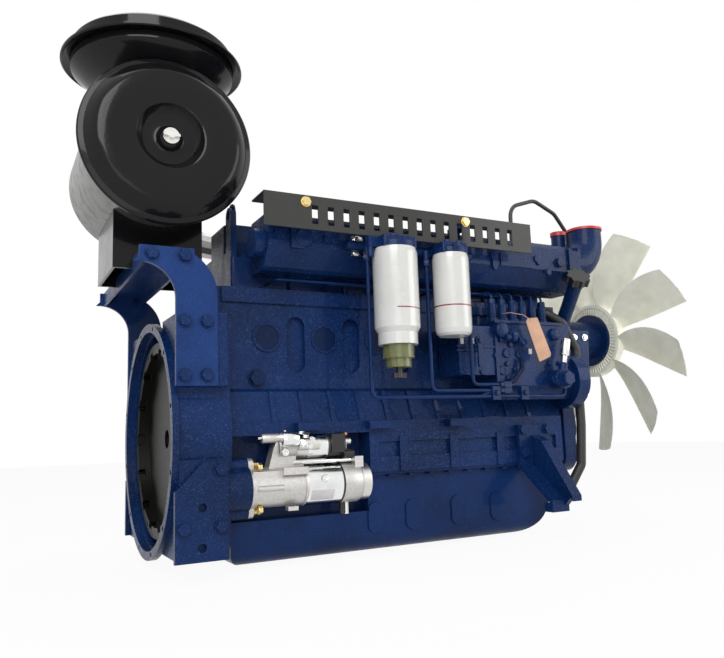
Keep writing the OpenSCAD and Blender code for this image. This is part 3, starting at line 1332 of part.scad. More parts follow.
module filler_cap() color("black") aim(neck_top + unit(neck_top - neck_foot) * seat, neck_top - neck_foot) {
    cylinder(r = neck_cap_r, h = neck_cap_h);
    for (i = [0 : 7]) rotate(45 * i) translate([neck_cap_r, 0, 0]) cylinder(r = neck_cap_h / 4, h = neck_cap_h);
}

hose_r = 13;
vent_r = 6;
module rubber_hoses() color("black") {
    pipe(breather_route, hose_r, 2 * hose_r, 10);
    pipe(vent_route, vent_r, 7 * vent_r, 8);
}
breather_route = [[1056, -block_y - rib_t - seat / 2, 322], [1056, -232, 322], [1106, -249, 288], [1149, -250, 214],
    [1151, -246, 0], [1146, -240, -110], [1114, -226, -168]];
vent_route = [[1006, -172, man_z1 + seat / 2], [1009, -172, 643], [1108, -165, 676], [1192, -158, 646],
    [vent_x, -outlet_y, 588],
    [vent_x, -outlet_y, vent_z + seat / 2]];

// One fan blade: broad, set at a pitch, with a slanted tip
function blade_point(s, t, side) =
    let (r0 = fan_ring_r - rib_w, rho = r0 + (fan_d / 2 - r0) * s,
         chord = blade_chord * (0.364 + 1.727 * s - 1.179 * s * s),
         tilt = blade_tilt_angle * (1.498 - 1.386 * s + 0.889 * s * s),
         across = t * chord * cos(tilt) + blade_chord * (0.095 - 0.167 * s + 0.561 * s * s),
         ang = across / rho * 180 / PI)
    [t * chord * sin(tilt) + side * blade_t / 2 + fan_ring_t * (0.25 - 0.5 * s), rho * cos(ang), rho * sin(ang)];
blade_rows = 6;
blade_cols = 4;
module blade() {
    m = blade_cols + 1;
    half = (blade_rows + 1) * m;
    grid = [for (side = [-1, 1], i = [0 : blade_rows], j = [0 : blade_cols])
        blade_point(i / blade_rows, j / blade_cols - 0.5, side)];
    rim = concat([for (j = [0 : blade_cols]) j], [for (i = [1 : blade_rows]) i * m + blade_cols],
        [for (j = [blade_cols - 1 : -1 : 0]) blade_rows * m + j], [for (i = [blade_rows - 1 : -1 : 1]) i * m]);
    polyhedron(points = grid, faces = concat(
        [for (i = [0 : blade_rows - 1], j = [0 : blade_cols - 1]) each let (a = i * m + j)
            [[a, a + m + 1, a + 1], [a, a + m, a + m + 1]]],
        [for (i = [0 : blade_rows - 1], j = [0 : blade_cols - 1]) each let (a = half + i * m + j)
            [[a, a + 1, a + m + 1], [a, a + m + 1, a + m]]],
        [for (k = [0 : len(rim) - 1]) each let (a = rim[k], b = rim[(k + 1) % len(rim)])
            [[a, b, half + b], [a, half + b, half + a]]]));
}

module fan() color("ivory") translate([fan_x, 0, fan_z]) {
    for (i = [0 : fan_blades - 1]) rotate([blade_turn_angle + 360 * i / fan_blades, 0, 0]) blade();
    difference() {
        rod_x(fan_ring_r, -fan_ring_t, fan_ring_t, 0, 0);
        rod_x(fan_disc_r - rib_w, -fan_ring_t - over, fan_ring_t + over, 0, 0);
    }
}

module fan_hub() color("royalblue") {
    rod_x(fan_disc_r, fan_x - fan_ring_t - fan_disc_t, fan_x - fan_ring_t, 0, fan_z);
    rod_x(fan_disc_r - rib_w - seat, fan_x - fan_ring_t, fan_x + fan_ring_t, 0, fan_z);
    rod_x(fan_disc_r, fan_x + fan_ring_t, fan_x + fan_ring_t + fan_disc_t, 0, fan_z);
    rod_x(fan_spacer_r, pulley_x1, fan_x - fan_ring_t - fan_disc_t, 0, fan_z);
    pulley(fan_pulley_d / 2, pulley_x0, pulley_x1, 0, fan_z);
    rod_x(fan_shaft_r, case_x1 + rib_w, pulley_x0, 0, fan_z);
    for (i = [0 : 5]) translate([0, 0, fan_z]) rotate([60 * i, 0, 0]) translate([fan_x + fan_ring_t + fan_disc_t,
        0.75 * fan_disc_r, 0]) rotate([0, 90, 0]) bolt_head(0.8 * bolt_r);
}

// Outline round the three pulleys at a distance from their pitch circles
module belt_outline(d) hull() {
    circle(crank_pulley_r + d);
    translate([0, fan_z]) circle(fan_pulley_d / 2 + d);
    translate([alt_y, alt_z]) circle(alt_pulley_r + d);
}
module drive_belts() color("black") for (s = [-1, 1])
    along_x((pulley_x0 + pulley_x1) / 2 + s * belt_gap / 2 - belt_w / 2 + seat,
        (pulley_x0 + pulley_x1) / 2 + s * belt_gap / 2 + belt_w / 2 - seat) difference() {
            belt_outline(belt_h / 2);
            belt_outline(-belt_h / 2 + 2 * seat);
        }

module alternator() color("silver") difference() {
    union() {
        rod_x(alt_r, coolant_x1 - 2 * alt_r, coolant_x1 - rib_w, alt_y, alt_z);
        box(case_x1 - 2 * rib_w, case_x1 - rib_w, case_y, alt_y, alt_z - 2 * rib_w, alt_z + 2 * rib_w);
        box(coolant_x1 - 2 * alt_r, case_x1 - rib_w, case_y, alt_y, alt_z - alt_r - rib_w, alt_z - alt_r / 2);
    }
    rod_x(rotor_r + run, coolant_x1 - 2 * alt_r + rib_w, coolant_x1, alt_y, alt_z);
}

module alternator_rotor() color("gray") {
    rod_x(rotor_r, coolant_x1 - 2 * alt_r + 2 * rib_w, pulley_x1, alt_y, alt_z);
    difference() {
        pulley(alt_pulley_r, pulley_x0, pulley_x1, alt_y, alt_z);
        rod_x(rotor_r / 2, pulley_x0 - over, pulley_x1 + over, alt_y, alt_z);
    }
}

oil_filter_y = 292;
oil_filter_r = 48;
module oil_filters() color("royalblue") {
    along_z(ledge_z + 2 * rib_w, ledge_z + 6 * rib_w)
        translate([0, 0]) rounded(mid_x - 2.4 * oil_filter_r, mid_x + 2.4 * oil_filter_r, block_y, oil_filter_y + oil_filter_r / 2, rib_w);
    for (s = [-1, 1])
        rod_z(oil_filter_r, -ledge_z / 2, ledge_z + 2 * rib_w, mid_x + s * 1.2 * oil_filter_r, oil_filter_y);
}

stick_r = 3;
stick_play = 0.4;
stick_x = 1036;
stick_y = 218;
stick_z0 = -60;
stick_top = 330;
module dipstick() color("goldenrod") {
    rod_z(stick_r, stick_z0, stick_top, stick_x, stick_y);
    rod_z(3 * stick_r, stick_top - rib_w + seat, stick_top + rib_w, stick_x, stick_y);
}

cylinder_block();
bedplate();
oil_pan();
block_plugs();
cylinder_heads();
rocker_covers();
cylinder_liners();
pistons();
crankshaft();
flywheel();
crank_pulley();
camshaft();
idler_gear();
pump_drive_gear();
timing_case();
flywheel_housing();
rear_mount_plates();
arch_bracket();
painted_bolts();
air_cleaner_body();
air_cleaner_cover();
air_cleaner_saddle();
air_filter_element();
wing_nut();
rain_cap();
intake_duct();
turbo_housing();
turbo_rotor();
exhaust_manifold();
intake_manifold();
intake_elbow();
protection_caps();
guard_plate();
top_brackets();
brass_fasteners();
filter_canisters();
separator_bowl();
drain_valve();
filter_heads();
fuel_lines();
injection_pump();
injection_lines();
feed_pump();
primer_plunger();
throttle_lever();
starter_housing();
starter_yoke();
starter_solenoid();
starter_pinion();
front_mount_brackets();
coolant_housing();
filler_cap();
rubber_hoses();
fan();
fan_hub();
drive_belts();
alternator();
alternator_rotor();
oil_filters();
dipstick();
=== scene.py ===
import math

import bmesh
import bpy
import numpy as np
from mathutils import Matrix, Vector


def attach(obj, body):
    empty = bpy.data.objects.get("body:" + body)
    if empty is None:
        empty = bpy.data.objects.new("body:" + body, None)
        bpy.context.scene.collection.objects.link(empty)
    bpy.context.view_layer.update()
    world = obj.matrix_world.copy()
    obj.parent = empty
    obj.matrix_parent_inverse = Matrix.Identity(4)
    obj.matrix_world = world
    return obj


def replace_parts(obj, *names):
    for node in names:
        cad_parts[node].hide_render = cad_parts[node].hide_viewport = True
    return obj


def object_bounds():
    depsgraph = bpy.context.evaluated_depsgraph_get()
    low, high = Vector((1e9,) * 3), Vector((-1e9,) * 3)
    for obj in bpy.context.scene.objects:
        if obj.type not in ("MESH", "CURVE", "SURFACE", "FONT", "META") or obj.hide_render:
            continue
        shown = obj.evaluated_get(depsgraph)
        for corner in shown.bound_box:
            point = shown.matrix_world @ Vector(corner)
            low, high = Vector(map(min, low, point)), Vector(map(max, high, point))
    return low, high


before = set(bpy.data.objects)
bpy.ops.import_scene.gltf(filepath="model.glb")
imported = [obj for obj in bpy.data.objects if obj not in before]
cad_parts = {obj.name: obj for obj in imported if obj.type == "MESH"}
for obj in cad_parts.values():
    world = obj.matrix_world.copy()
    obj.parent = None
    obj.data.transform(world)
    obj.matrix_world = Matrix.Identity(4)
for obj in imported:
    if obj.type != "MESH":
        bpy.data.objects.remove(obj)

CAD_BOX = [list(corner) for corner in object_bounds()]

bl_info = {
    "name": "Diesel engine looks",
    "version": (1, 0, 0),
    "blender": (4, 5, 0),
    "location": "3D View > Sidebar > Engine",
    "description": "Finishes, pipes, hoses, fan and small parts of a diesel engine",
    "category": "Object",
}

MM = 0.001


class Wire:
    """A shader value. Arithmetic on it adds Math nodes to its material's tree."""

    def __init__(self, finish, socket):
        self.finish, self.socket = finish, socket

    def _math(self, operation, a, b):
        return self.finish.node("ShaderNodeMath", {"operation": operation}, {0: a, 1: b})

    def __add__(self, other):
        return self._math("ADD", self, other)

    def __radd__(self, other):
        return self._math("ADD", other, self)

    def __sub__(self, other):
        return self._math("SUBTRACT", self, other)

    def __rsub__(self, other):
        return self._math("SUBTRACT", other, self)

    def __mul__(self, other):
        return self._math("MULTIPLY", self, other)

    def __rmul__(self, other):
        return self._math("MULTIPLY", other, self)

    def __truediv__(self, other):
        return self._math("DIVIDE", self, other)

    def above(self, level, soft):
        """0 below level and 1 above it, over a soft step."""
        low, high = level - soft / 2, level + soft / 2
        settings = {"interpolation_type": "SMOOTHSTEP"}
        return self.finish.node("ShaderNodeMapRange", settings, {"Value": self, "From Min": low, "From Max": high})

    def between(self, low, high, soft):
        """1 between two levels and 0 outside them."""
        return self.above(low, soft) * (1 - self.above(high, soft))


class Finish:
    """A procedural material: a Principled shader and the nodes that vary it over the surface."""

    def __init__(self, name, colour, roughness, metallic=0.0, **constants):
        self.material = bpy.data.materials.new(name)
        self.material.use_nodes = True
        self.tree = self.material.node_tree
        self.shader = next(n for n in self.tree.nodes if n.type == "BSDF_PRINCIPLED")
        self.colour, self.roughness = colour, roughness
        self.material.diffuse_color = (*colour, 1)
        self.put("Base Color", (*colour, 1))
        self.put("Roughness", roughness)
        self.put("Metallic", metallic)
        for socket, value in constants.items():
            self.put(socket.replace("_", " "), value)
        self.place = self.tree.nodes.new("ShaderNodeTexCoord").outputs["Object"]
        self.normal = None

    def node(self, kind, settings=None, values=None, output=0):
        """Adds a node, sets it up, fills its sockets with values or wires, and returns its output."""
        made = self.tree.nodes.new(kind)
        for key, value in (settings or {}).items():
            setattr(made, key, value)
        for key, value in (values or {}).items():
            self.fill(made.inputs[key], value)
        return Wire(self, made.outputs[output])

    def fill(self, socket, value):
        if isinstance(value, Wire):
            self.tree.links.new(value.socket, socket)
        elif isinstance(value, bpy.types.NodeSocket):
            self.tree.links.new(value, socket)
        else:
            socket.default_value = value

    def put(self, name, value):
        self.fill(self.shader.inputs[name], value)

    def mapped(self, scale=(1, 1, 1), offset=(0, 0, 0)):
        """Object coordinates stretched by scale."""
        return self.node("ShaderNodeMapping", None, {"Vector": self.place, "Scale": scale, "Location": offset})

    def noise(self, scale, detail=3.0, rough=0.55, vector=None):
        values = {"Vector": vector or self.place, "Scale": scale, "Detail": detail, "Roughness": rough}
        return self.node("ShaderNodeTexNoise", None, values)

    def cells(self, scale, feature="F1", vector=None):
        return self.node("ShaderNodeTexVoronoi", {"feature": feature}, {"Vector": vector or self.place, "Scale": scale})

    def axis(self, which):
        """One object coordinate, in metres."""
        return self.node("ShaderNodeSeparateXYZ", None, {"Vector": self.place}, which)

    def blend(self, factor, low, high):
        """Colour mix of two colours by a wire."""
        colour = [c if isinstance(c, Wire) or len(c) == 4 else (*c, 1) for c in (low, high)]
        return self.node("ShaderNodeMix", {"data_type": "RGBA"}, {0: factor, 6: colour[0], 7: colour[1]}, 2)

    def bump(self, height, distance, strength=1.0):
        """Adds relief of a height in metres on top of what is there."""
        values = {"Height": height, "Distance": distance, "Strength": strength}
        if self.normal is not None:
            values["Normal"] = self.normal
        self.normal = self.node("ShaderNodeBump", None, values)
        self.put("Normal", self.normal)

    def round_edges(self, radius):
        """Softens the edges of a sharp mesh in the shading."""
        self.normal = self.node("ShaderNodeBevel", {"samples": 4}, {"Radius": radius})
        self.put("Normal", self.normal)

    def dress(self, *names):
        """Puts this finish on CAD nodes."""
        for name in names:
            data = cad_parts[name].data
            data.materials.clear()
            data.materials.append(self.material)


def scaled(colour, factor, lift=0.0):
    """A colour made paler or deeper, held at 1."""
    return tuple(min(1, factor * c + lift) for c in colour)


def enamel(name, colour, roughness=0.24, grain=1.0, edge=0.0016):
    """Glossy paint on castings: cloudy colour, sand-cast pimples under the paint, thin spots, pale dusty specks and
    painted glints that stand in for highlights on the grain.
    """
    f = Finish(name, colour, roughness, Coat_Weight=0.14, Coat_Roughness=0.06, Specular_IOR_Level=0.09)
    f.round_edges(edge)
    cloud, fine = f.noise(5.0, 4.0), f.noise(60.0, 3.0)
    tone = f.blend(cloud.above(0.5, 0.5), scaled(colour, 0.62), scaled(colour, 1.15, 0.002))
    # Painted highlight: tiny pale specks put into the colour where light would glint off the cast grain.
    painted_glint = f.noise(300.0, 2.0, 0.5).above(0.62, 0.08) * (0.22 * grain)
    dust_and_painted_glints = fine.above(0.68, 0.2) * 0.06 + painted_glint
    # The pale blue (0.08, 0.15, 0.34) is laid on dusty specks and on the painted glints, so it is part real dusty
    # specks and part painted highlight.
    f.put("Base Color", f.blend(dust_and_painted_glints, tone, (0.08, 0.15, 0.34)))
    f.put("Roughness", roughness + 0.16 * f.noise(22.0, 4.0).above(0.56, 0.35))
    f.bump(f.noise(230.0, 3.0, 0.6), 0.0020 * grain, 0.9)
    f.bump(f.noise(36.0, 2.0, 0.4), 0.0030 * grain, 0.35)
    return f


def gloss_black(name, colour=(0.012, 0.012, 0.013), roughness=0.13):
    """Powder-coated sheet metal with a fine orange peel and a few dusty spots."""
    f = Finish(name, colour, roughness, Coat_Weight=0.2, Coat_Roughness=0.05, Specular_IOR_Level=0.1)
    f.round_edges(0.0012)
    f.put("Base Color", f.blend(f.noise(120.0, 2.0).above(0.72, 0.12) * 0.12, colour, (0.06, 0.06, 0.06)))
    f.put("Roughness", roughness + 0.12 * f.noise(9.0, 4.0).above(0.55, 0.4))
    f.bump(f.noise(190.0, 1.0, 0.4), 0.0006, 0.3)
    return f


def satin_sheet(name, colour, roughness=0.35):
    """Painted sheet metal, satin, with long faint streaks."""
    f = Finish(name, colour, roughness, Coat_Weight=0.25, Coat_Roughness=0.2)
    f.round_edges(0.001)
    streak = f.noise(14.0, 3.0, 0.6, f.mapped((3.0, 0.35, 3.0)))
    f.put("Base Color", f.blend(streak.above(0.5, 0.6), scaled(colour, 0.86), scaled(colour, 1.08)))
    f.put("Roughness", roughness + 0.15 * f.noise(40.0, 3.0).above(0.55, 0.3))
    f.bump(f.noise(220.0, 2.0), 0.0004, 0.3)
    return f


def plated(name, colour, roughness=0.3, streaky=(1.0, 1.0, 1.0)):
    """Zinc or machined metal: fine turning marks, cloudy brightness and small stains."""
    f = Finish(name, colour, roughness, 1.0)
    f.round_edges(0.0006)
    mark = f.noise(260.0, 3.0, 0.7, f.mapped(streaky))
    cloud = f.noise(30.0, 4.0)
    f.put("Base Color", f.blend(cloud.above(0.52, 0.6), scaled(colour, 0.86), colour))
    f.put("Roughness", roughness * 0.75 + roughness * 0.6 * mark)
    f.bump(mark, 0.0003, 0.25)
    return f


def cast_metal(name, colour, roughness=0.45, metallic=1.0, grain=1.0):
    """Bare casting: coarse skin with pits, darker in the hollows of the grain."""
    f = Finish(name, colour, roughness, metallic)
    f.round_edges(0.0012)
    skin, pits = f.noise(170.0, 4.0, 0.65), f.cells(420.0)
    f.put("Base Color", f.blend(skin.above(0.46, 0.3), scaled(colour, 0.86), colour))
    f.put("Roughness", roughness - 0.06 + 0.18 * skin)
    f.bump(skin + pits * 0.4, 0.0006 * grain, 0.4)
    return f


def moulded(name, colour, roughness=0.4, grain=0.5, **constants):
    """Moulded plastic or rubber with a fine eroded texture."""
    f = Finish(name, colour, roughness, **constants)
    f.round_edges(0.0008)
    cloud = f.noise(18.0, 3.0)
    f.put("Base Color", f.blend(cloud.above(0.5, 0.6), scaled(colour, 0.85), scaled(colour, 1.1)))
    f.put("Roughness", roughness + 0.15 * f.noise(70.0, 2.0))
    f.bump(f.noise(300.0, 2.0), 0.0006 * grain, 0.4)
    return f


def unit(v):
    return v / np.maximum(np.linalg.norm(v, axis=-1, keepdims=True), 1e-12)


def rounded_route(points, bend, steps=10):
    """A route whose corners become arcs: the hub of each arc lies on the corner's bisector, at bend over the
    sine of the half angle, and the arc runs between the points where it touches both legs."""
    p = np.asarray(points, float)
    out = [p[:1]]
    for a, b, c in zip(p[:-2], p[1:-1], p[2:]):
        u, w = unit(a - b), unit(c - b)
        half = math.acos(float(np.clip(u @ w, -1, 1))) / 2
        hub = b + unit(u + w) * bend / math.sin(half)
        start, end = b + u * bend / math.tan(half) - hub, b + w * bend / math.tan(half) - hub
        t = np.linspace(0, 1, steps)[:, None]
        whole = math.pi - 2 * half
        out.append(hub + (np.sin((1 - t) * whole) * start + np.sin(t * whole) * end) / math.sin(whole))
    return np.concatenate(out + [p[-1:]])


def evenly(path, step):
    """The same path with a point about every step, measured along it."""
    run = np.concatenate([[0], np.cumsum(np.linalg.norm(np.diff(path, axis=0), axis=1))])
    s = np.linspace(0, run[-1], max(2, int(round(run[-1] / step)) + 1))
    return np.stack([np.interp(s, run, path[:, k]) for k in range(3)], 1), s


def carried_frames(path):
    """Two directions across a path that turn with it as little as they can."""
    t = unit(np.gradient(path, axis=0))
    n = np.empty_like(t)
    first = np.array([0, 0, 1.0]) if abs(t[0, 2]) < 0.9 else np.array([1.0, 0, 0])
    n[0] = unit(np.cross(t[0], first))
    for i in range(1, len(t)):
        n[i] = unit(n[i - 1] - t[i] * (n[i - 1] @ t[i]))
    return n, np.cross(t, n)


def swept(path, radius, sides=16):
    """Tube: point(i, a) = path(i) + radius(i) (n(i) cos a + b(i) sin a)."""
    n, b = carried_frames(path)
    a = np.linspace(0, 2 * np.pi, sides, endpoint=False)[None, :, None]
    r = np.broadcast_to(np.asarray(radius, float), (len(path),))[:, None, None]
    return path[:, None] + r * (n[:, None] * np.cos(a) + b[:, None] * np.sin(a))


def turned(profile, sides=48):
    """Surface of revolution about Z: point(i, a) = (r(i) cos a, r(i) sin a, z(i))."""
    q = np.asarray(profile, float)
    a = np.linspace(0, 2 * np.pi, sides, endpoint=False)
    return np.stack([q[:, :1] * np.cos(a), q[:, :1] * np.sin(a), np.repeat(q[:, 1:], sides, 1)], 2)


def hexagon(profile, per_side=4):
    """As turned, but each ring is a hexagon whose flats stand at the profile's radius."""
    g = turned(profile, 6 * per_side)
    a = np.linspace(0, 2 * np.pi, 6 * per_side, endpoint=False)
    flat = 1 / np.cos((a + np.pi / 6) % (np.pi / 3) - np.pi / 6)
    g[..., :2] *= flat[None, :, None]
    return g


def aimed(grid, origin, axis):
    """Turns a grid that stands on Z along axis and moves it to origin."""
    z = unit(np.asarray(axis, float))
    x = unit(np.cross([0, 0, 1.0] if abs(z[2]) < 0.9 else [0, 1.0, 0], z))
    return grid @ np.stack([x, np.cross(z, x), z]) + np.asarray(origin, float)


class Shape:
    """Collects grids of points and makes one closed mesh of them."""

    def __init__(self):
        self.points, self.faces, self.count = [], [], 0

    def add(self, grid, close_u=False, close_v=True, caps=True):
        """A grid of points (u, v, 3). Its v direction is closed into rings, and caps close the first and last ring."""
        nu, nv = grid.shape[:2]
        index = np.arange(nu * nv).reshape(nu, nv) + self.count
        wide = np.concatenate([index, index[:, :1]], 1) if close_v else index
        wide = np.concatenate([wide, wide[:1]], 0) if close_u else wide
        quads = np.stack([wide[:-1, :-1], wide[1:, :-1], wide[1:, 1:], wide[:-1, 1:]], -1).reshape(-1, 4)
        self.faces += quads.tolist()
        if caps and close_v and not close_u:
            self.faces += [index[0].tolist(), index[-1][::-1].tolist()]
        self.points.append(grid.reshape(-1, 3))
        self.count += nu * nv
        return self

    def box(self, low, high):
        """A block between two corners."""
        x, y, z = zip(low, high)
        ring = lambda h: [[x[0], y[0], h], [x[1], y[0], h], [x[1], y[1], h], [x[0], y[1], h]]
        return self.add(np.array([ring(z[0]), ring(z[1])], float))

    def boxes(self, pairs, lift=0):
        """Blocks between pairs of corners, all raised by lift."""
        for low, high in pairs:
            self.box((low[0], low[1], low[2] + lift), (high[0], high[1], high[2] + lift))
        return self

    def lathe(self, rows, origin, axis, sides=32, hole=False):
        """A turned piece that stands at origin along axis. With a hole, its profile closes on itself."""
        return self.add(aimed(turned(rows, sides), origin, axis), close_u=hole, caps=False)

    def nut(self, rows, origin, axis):
        """A hexagon piece that stands at origin along axis."""
        return self.add(aimed(hexagon(rows), origin, axis), caps=False)

    def tube(self, route, bend, radius, step, sides=16):
        """A round tube along a route whose corners are rounded by bend."""
        path, _ = evenly(rounded_route(route, bend), step)
        return self.add(swept(path, radius, sides))

    def bolt(self, origin, axis, r, head=1.0, washer=True):
        """Hexagon head with a chamfer, on a round washer."""
        top = 0.3 * r if washer else 0
        if washer:
            self.lathe([[0, 0], [1.9 * r, 0], [1.95 * r, 0.1 * r], [1.9 * r, top], [0, top]], origin, axis, 24)
        edge, end = top + 0.8 * head * r, top + head * r
        return self.nut([[0, top], [1.45 * r, top], [1.45 * r, edge], [1.3 * r, end], [0, end]], origin, axis)

    def build(self, name, finish, body, slot, sharp=38):
        """Makes the object, in metres, from points in millimetres."""
        mesh = bpy.data.meshes.new(name)
        mesh.from_pydata((np.concatenate(self.points) * MM).tolist(), [], self.faces)
        work = bmesh.new()
        work.from_mesh(mesh)
        bmesh.ops.remove_doubles(work, verts=work.verts, dist=1e-6)
        bmesh.ops.dissolve_degenerate(work, edges=work.edges, dist=1e-7)
        bmesh.ops.recalc_face_normals(work, faces=work.faces)
        work.to_mesh(mesh)
        work.free()
        mesh.polygons.foreach_set("use_smooth", np.ones(len(mesh.polygons), bool))
        mesh.set_sharp_from_angle(angle=math.radians(sharp))
        mesh.materials.append(finish.material)
        piece = bpy.data.objects.new(name, mesh)
        bpy.context.scene.collection.objects.link(piece)
        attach(piece, body)
        return piece


FINISHES = {}


def finish(name):
    return FINISHES[name]


def tint(name, description, default):
    """A colour setting."""
    return bpy.props.FloatVectorProperty(name=name, description=description, subtype="COLOR", default=default)


def power(name, description, default):
    """A lamp power setting, in watts."""
    return bpy.props.FloatProperty(name=name, description=description, subtype="POWER", default=default)


class EnginePaint(bpy.types.PropertyGroup):
    blue: tint("Engine blue", "Enamel of the castings", (0.0015, 0.019, 0.092))
    black: tint("Gloss black", "Cover and rain cap", (0.007, 0.007, 0.008))
    # The air cleaner shell is light grey; this dark grey default paints in the shade that the shell sits in.
    canister: tint("Canister grey", "Air cleaner shell", (0.065, 0.065, 0.058))
    red: tint("Cap red", "Protection caps", (0.55, 0.035, 0.035))
    ivory: tint("Fan ivory", "Moulded fan blades", (0.97, 0.96, 0.80))


class EngineStage(bpy.types.PropertyGroup):
    floor: tint("Floor", "Colour of the floor", (0.96, 0.96, 0.96))
    key: power("Key light", "Power of the main soft light", 135.0)
    fill: power("Fill light", "Power of the side light", 48.0)


class ENGINE_OT_finishes(bpy.types.Operator):
    """Makes every finish and puts it on the nodes of the model"""

    bl_idname = "engine.finishes"
    bl_label = "Finishes"

    def execute(self, context):
        paint = context.scene.engine_paint
        blue = tuple(paint.blue)
        made = FINISHES
        made["blue"] = enamel("engine_enamel", blue)
        made["blue_sheet"] = enamel("sheet_enamel", blue, 0.3, 0.35)
        # The arch bracket gets the engine blue made paler: painted light for its up-facing faces, which catch the light
        # from above.
        made["lit_arch_blue"] = enamel("arch_enamel_painted_light", scaled(blue, 1.5, 0.006), 0.3, 0.5)
        made["dark_blue"] = enamel("plug_enamel", scaled(blue, 0.55), 0.35, 0.4)
        made["black"] = gloss_black("gloss_black", tuple(paint.black))
        made["plate"] = gloss_black("guard_black", (0.045, 0.045, 0.043), 0.36)
        # Painted shade: the light grey shell is given a dark grey colour for the shade it sits in.
        made["canister"] = satin_sheet("canister_grey", tuple(paint.canister), 0.28)
        made["white"] = filter_white()
        made["zinc"] = plated("zinc_plating", (0.72, 0.71, 0.68), 0.32)
        made["steel"] = plated("ground_steel", (0.52, 0.52, 0.53), 0.28)
        made["iron"] = cast_metal("machined_iron", (0.022, 0.022, 0.020), 0.4, 1.0, 0.5)
        made["scale"] = cast_metal("scaled_iron", (0.20, 0.13, 0.09), 0.7, 0.3)
        made["aluminium"] = cast_metal("cast_aluminium", (0.58, 0.565, 0.545), 0.42, 0.85, 0.7)
        made["brass"] = plated("bare_brass", (0.83, 0.66, 0.30), 0.28)
        made["rubber"] = moulded("black_rubber", (0.016, 0.016, 0.017), 0.42, 1.0)
        made["red"] = moulded("red_cap", tuple(paint.red), 0.32, 0.6)
        made["plastic"] = moulded("black_plastic", (0.013, 0.013, 0.014), 0.25, 0.5)
        made["ivory"] = moulded("ivory_nylon", tuple(paint.ivory), 0.42, 0.15)
        made["copper"] = plated("copper_stud", (0.72, 0.33, 0.20), 0.35)
        made["label"] = moulded("bare_label", (0.62, 0.60, 0.60), 0.45, 0.1)
        made["card"] = moulded("brown_card", (0.60, 0.36, 0.24), 0.75, 0.3)
        made["chrome"] = plated("bright_zinc", (0.86, 0.87, 0.86), 0.16)
        made["olive"] = moulded("olive_bowl", (0.30, 0.32, 0.13), 0.08, 0.1, Transmission_Weight=0.55, IOR=1.45)
        made["paper"] = moulded("filter_paper", (0.75, 0.62, 0.36), 0.8, 2.0)
        for name, nodes in DRESSED.items():
            made[name].dress(*nodes)
        return {"FINISHED"}


DRESSED = {
    "blue": ["cylinder_block", "bedplate", "cylinder_heads", "rocker_covers", "timing_case", "flywheel_housing",
             "rear_mount_plates", "painted_bolts", "intake_manifold", "intake_elbow", "top_brackets", "filter_heads",
             "injection_pump", "feed_pump", "front_mount_brackets", "coolant_housing", "fan_hub", "throttle_lever"],
    "lit_arch_blue": ["arch_bracket"],
    "blue_sheet": ["oil_pan", "fuel_lines", "injection_lines"],
    "dark_blue": ["block_plugs", "crank_pulley", "oil_filters"],
    "black": ["air_cleaner_cover", "rain_cap", "air_cleaner_saddle"],
    "plate": ["guard_plate"],
    "canister": ["air_cleaner_body"],
    "white": ["filter_canisters"],
    "zinc": ["wing_nut", "primer_plunger", "starter_yoke", "starter_solenoid"],
    "steel": ["crankshaft", "camshaft", "idler_gear", "pump_drive_gear", "turbo_rotor", "starter_pinion",
              "alternator_rotor"],
    "iron": ["cylinder_liners", "flywheel"],
    "scale": ["turbo_housing", "exhaust_manifold"],
    "aluminium": ["pistons", "starter_housing", "alternator", "intake_duct"],
    "brass": ["brass_fasteners", "dipstick"],
    "rubber": ["rubber_hoses", "drive_belts"],
    "red": ["protection_caps"],
    "plastic": ["drain_valve", "filler_cap"],
    "ivory": ["fan"],
    "olive": ["separator_bowl"],
    "paper": ["air_filter_element"],
}


def filter_white():
    """Gloss white tinplate with a thin dark-red ring, which goes only part of the way round the first canister."""
    f = Finish("filter_white", (0.86, 0.86, 0.84), 0.2, Coat_Weight=0.5, Coat_Roughness=0.06)
    x, z, soft = f.axis(0), f.axis(2), 0.0006
    cloud = f.noise(9.0, 3.0)
    base = f.blend(cloud.above(0.5, 0.6), (0.59, 0.59, 0.57), (0.66, 0.66, 0.64))
    second = x.above(0.6, 0.001)
    first = x.above(0.484, 0.001) * (1 - second)
    ring = z.between(0.2950, 0.2985, soft) * second + z.between(0.2800, 0.2830, soft) * first
    f.put("Base Color", f.blend(ring, base, (0.22, 0.02, 0.025)))
    f.put("Roughness", 0.18 + 0.12 * f.noise(30.0, 3.0).above(0.55, 0.3))
    f.bump(f.noise(12.0, 2.0), 0.0008, 0.2)
    return f


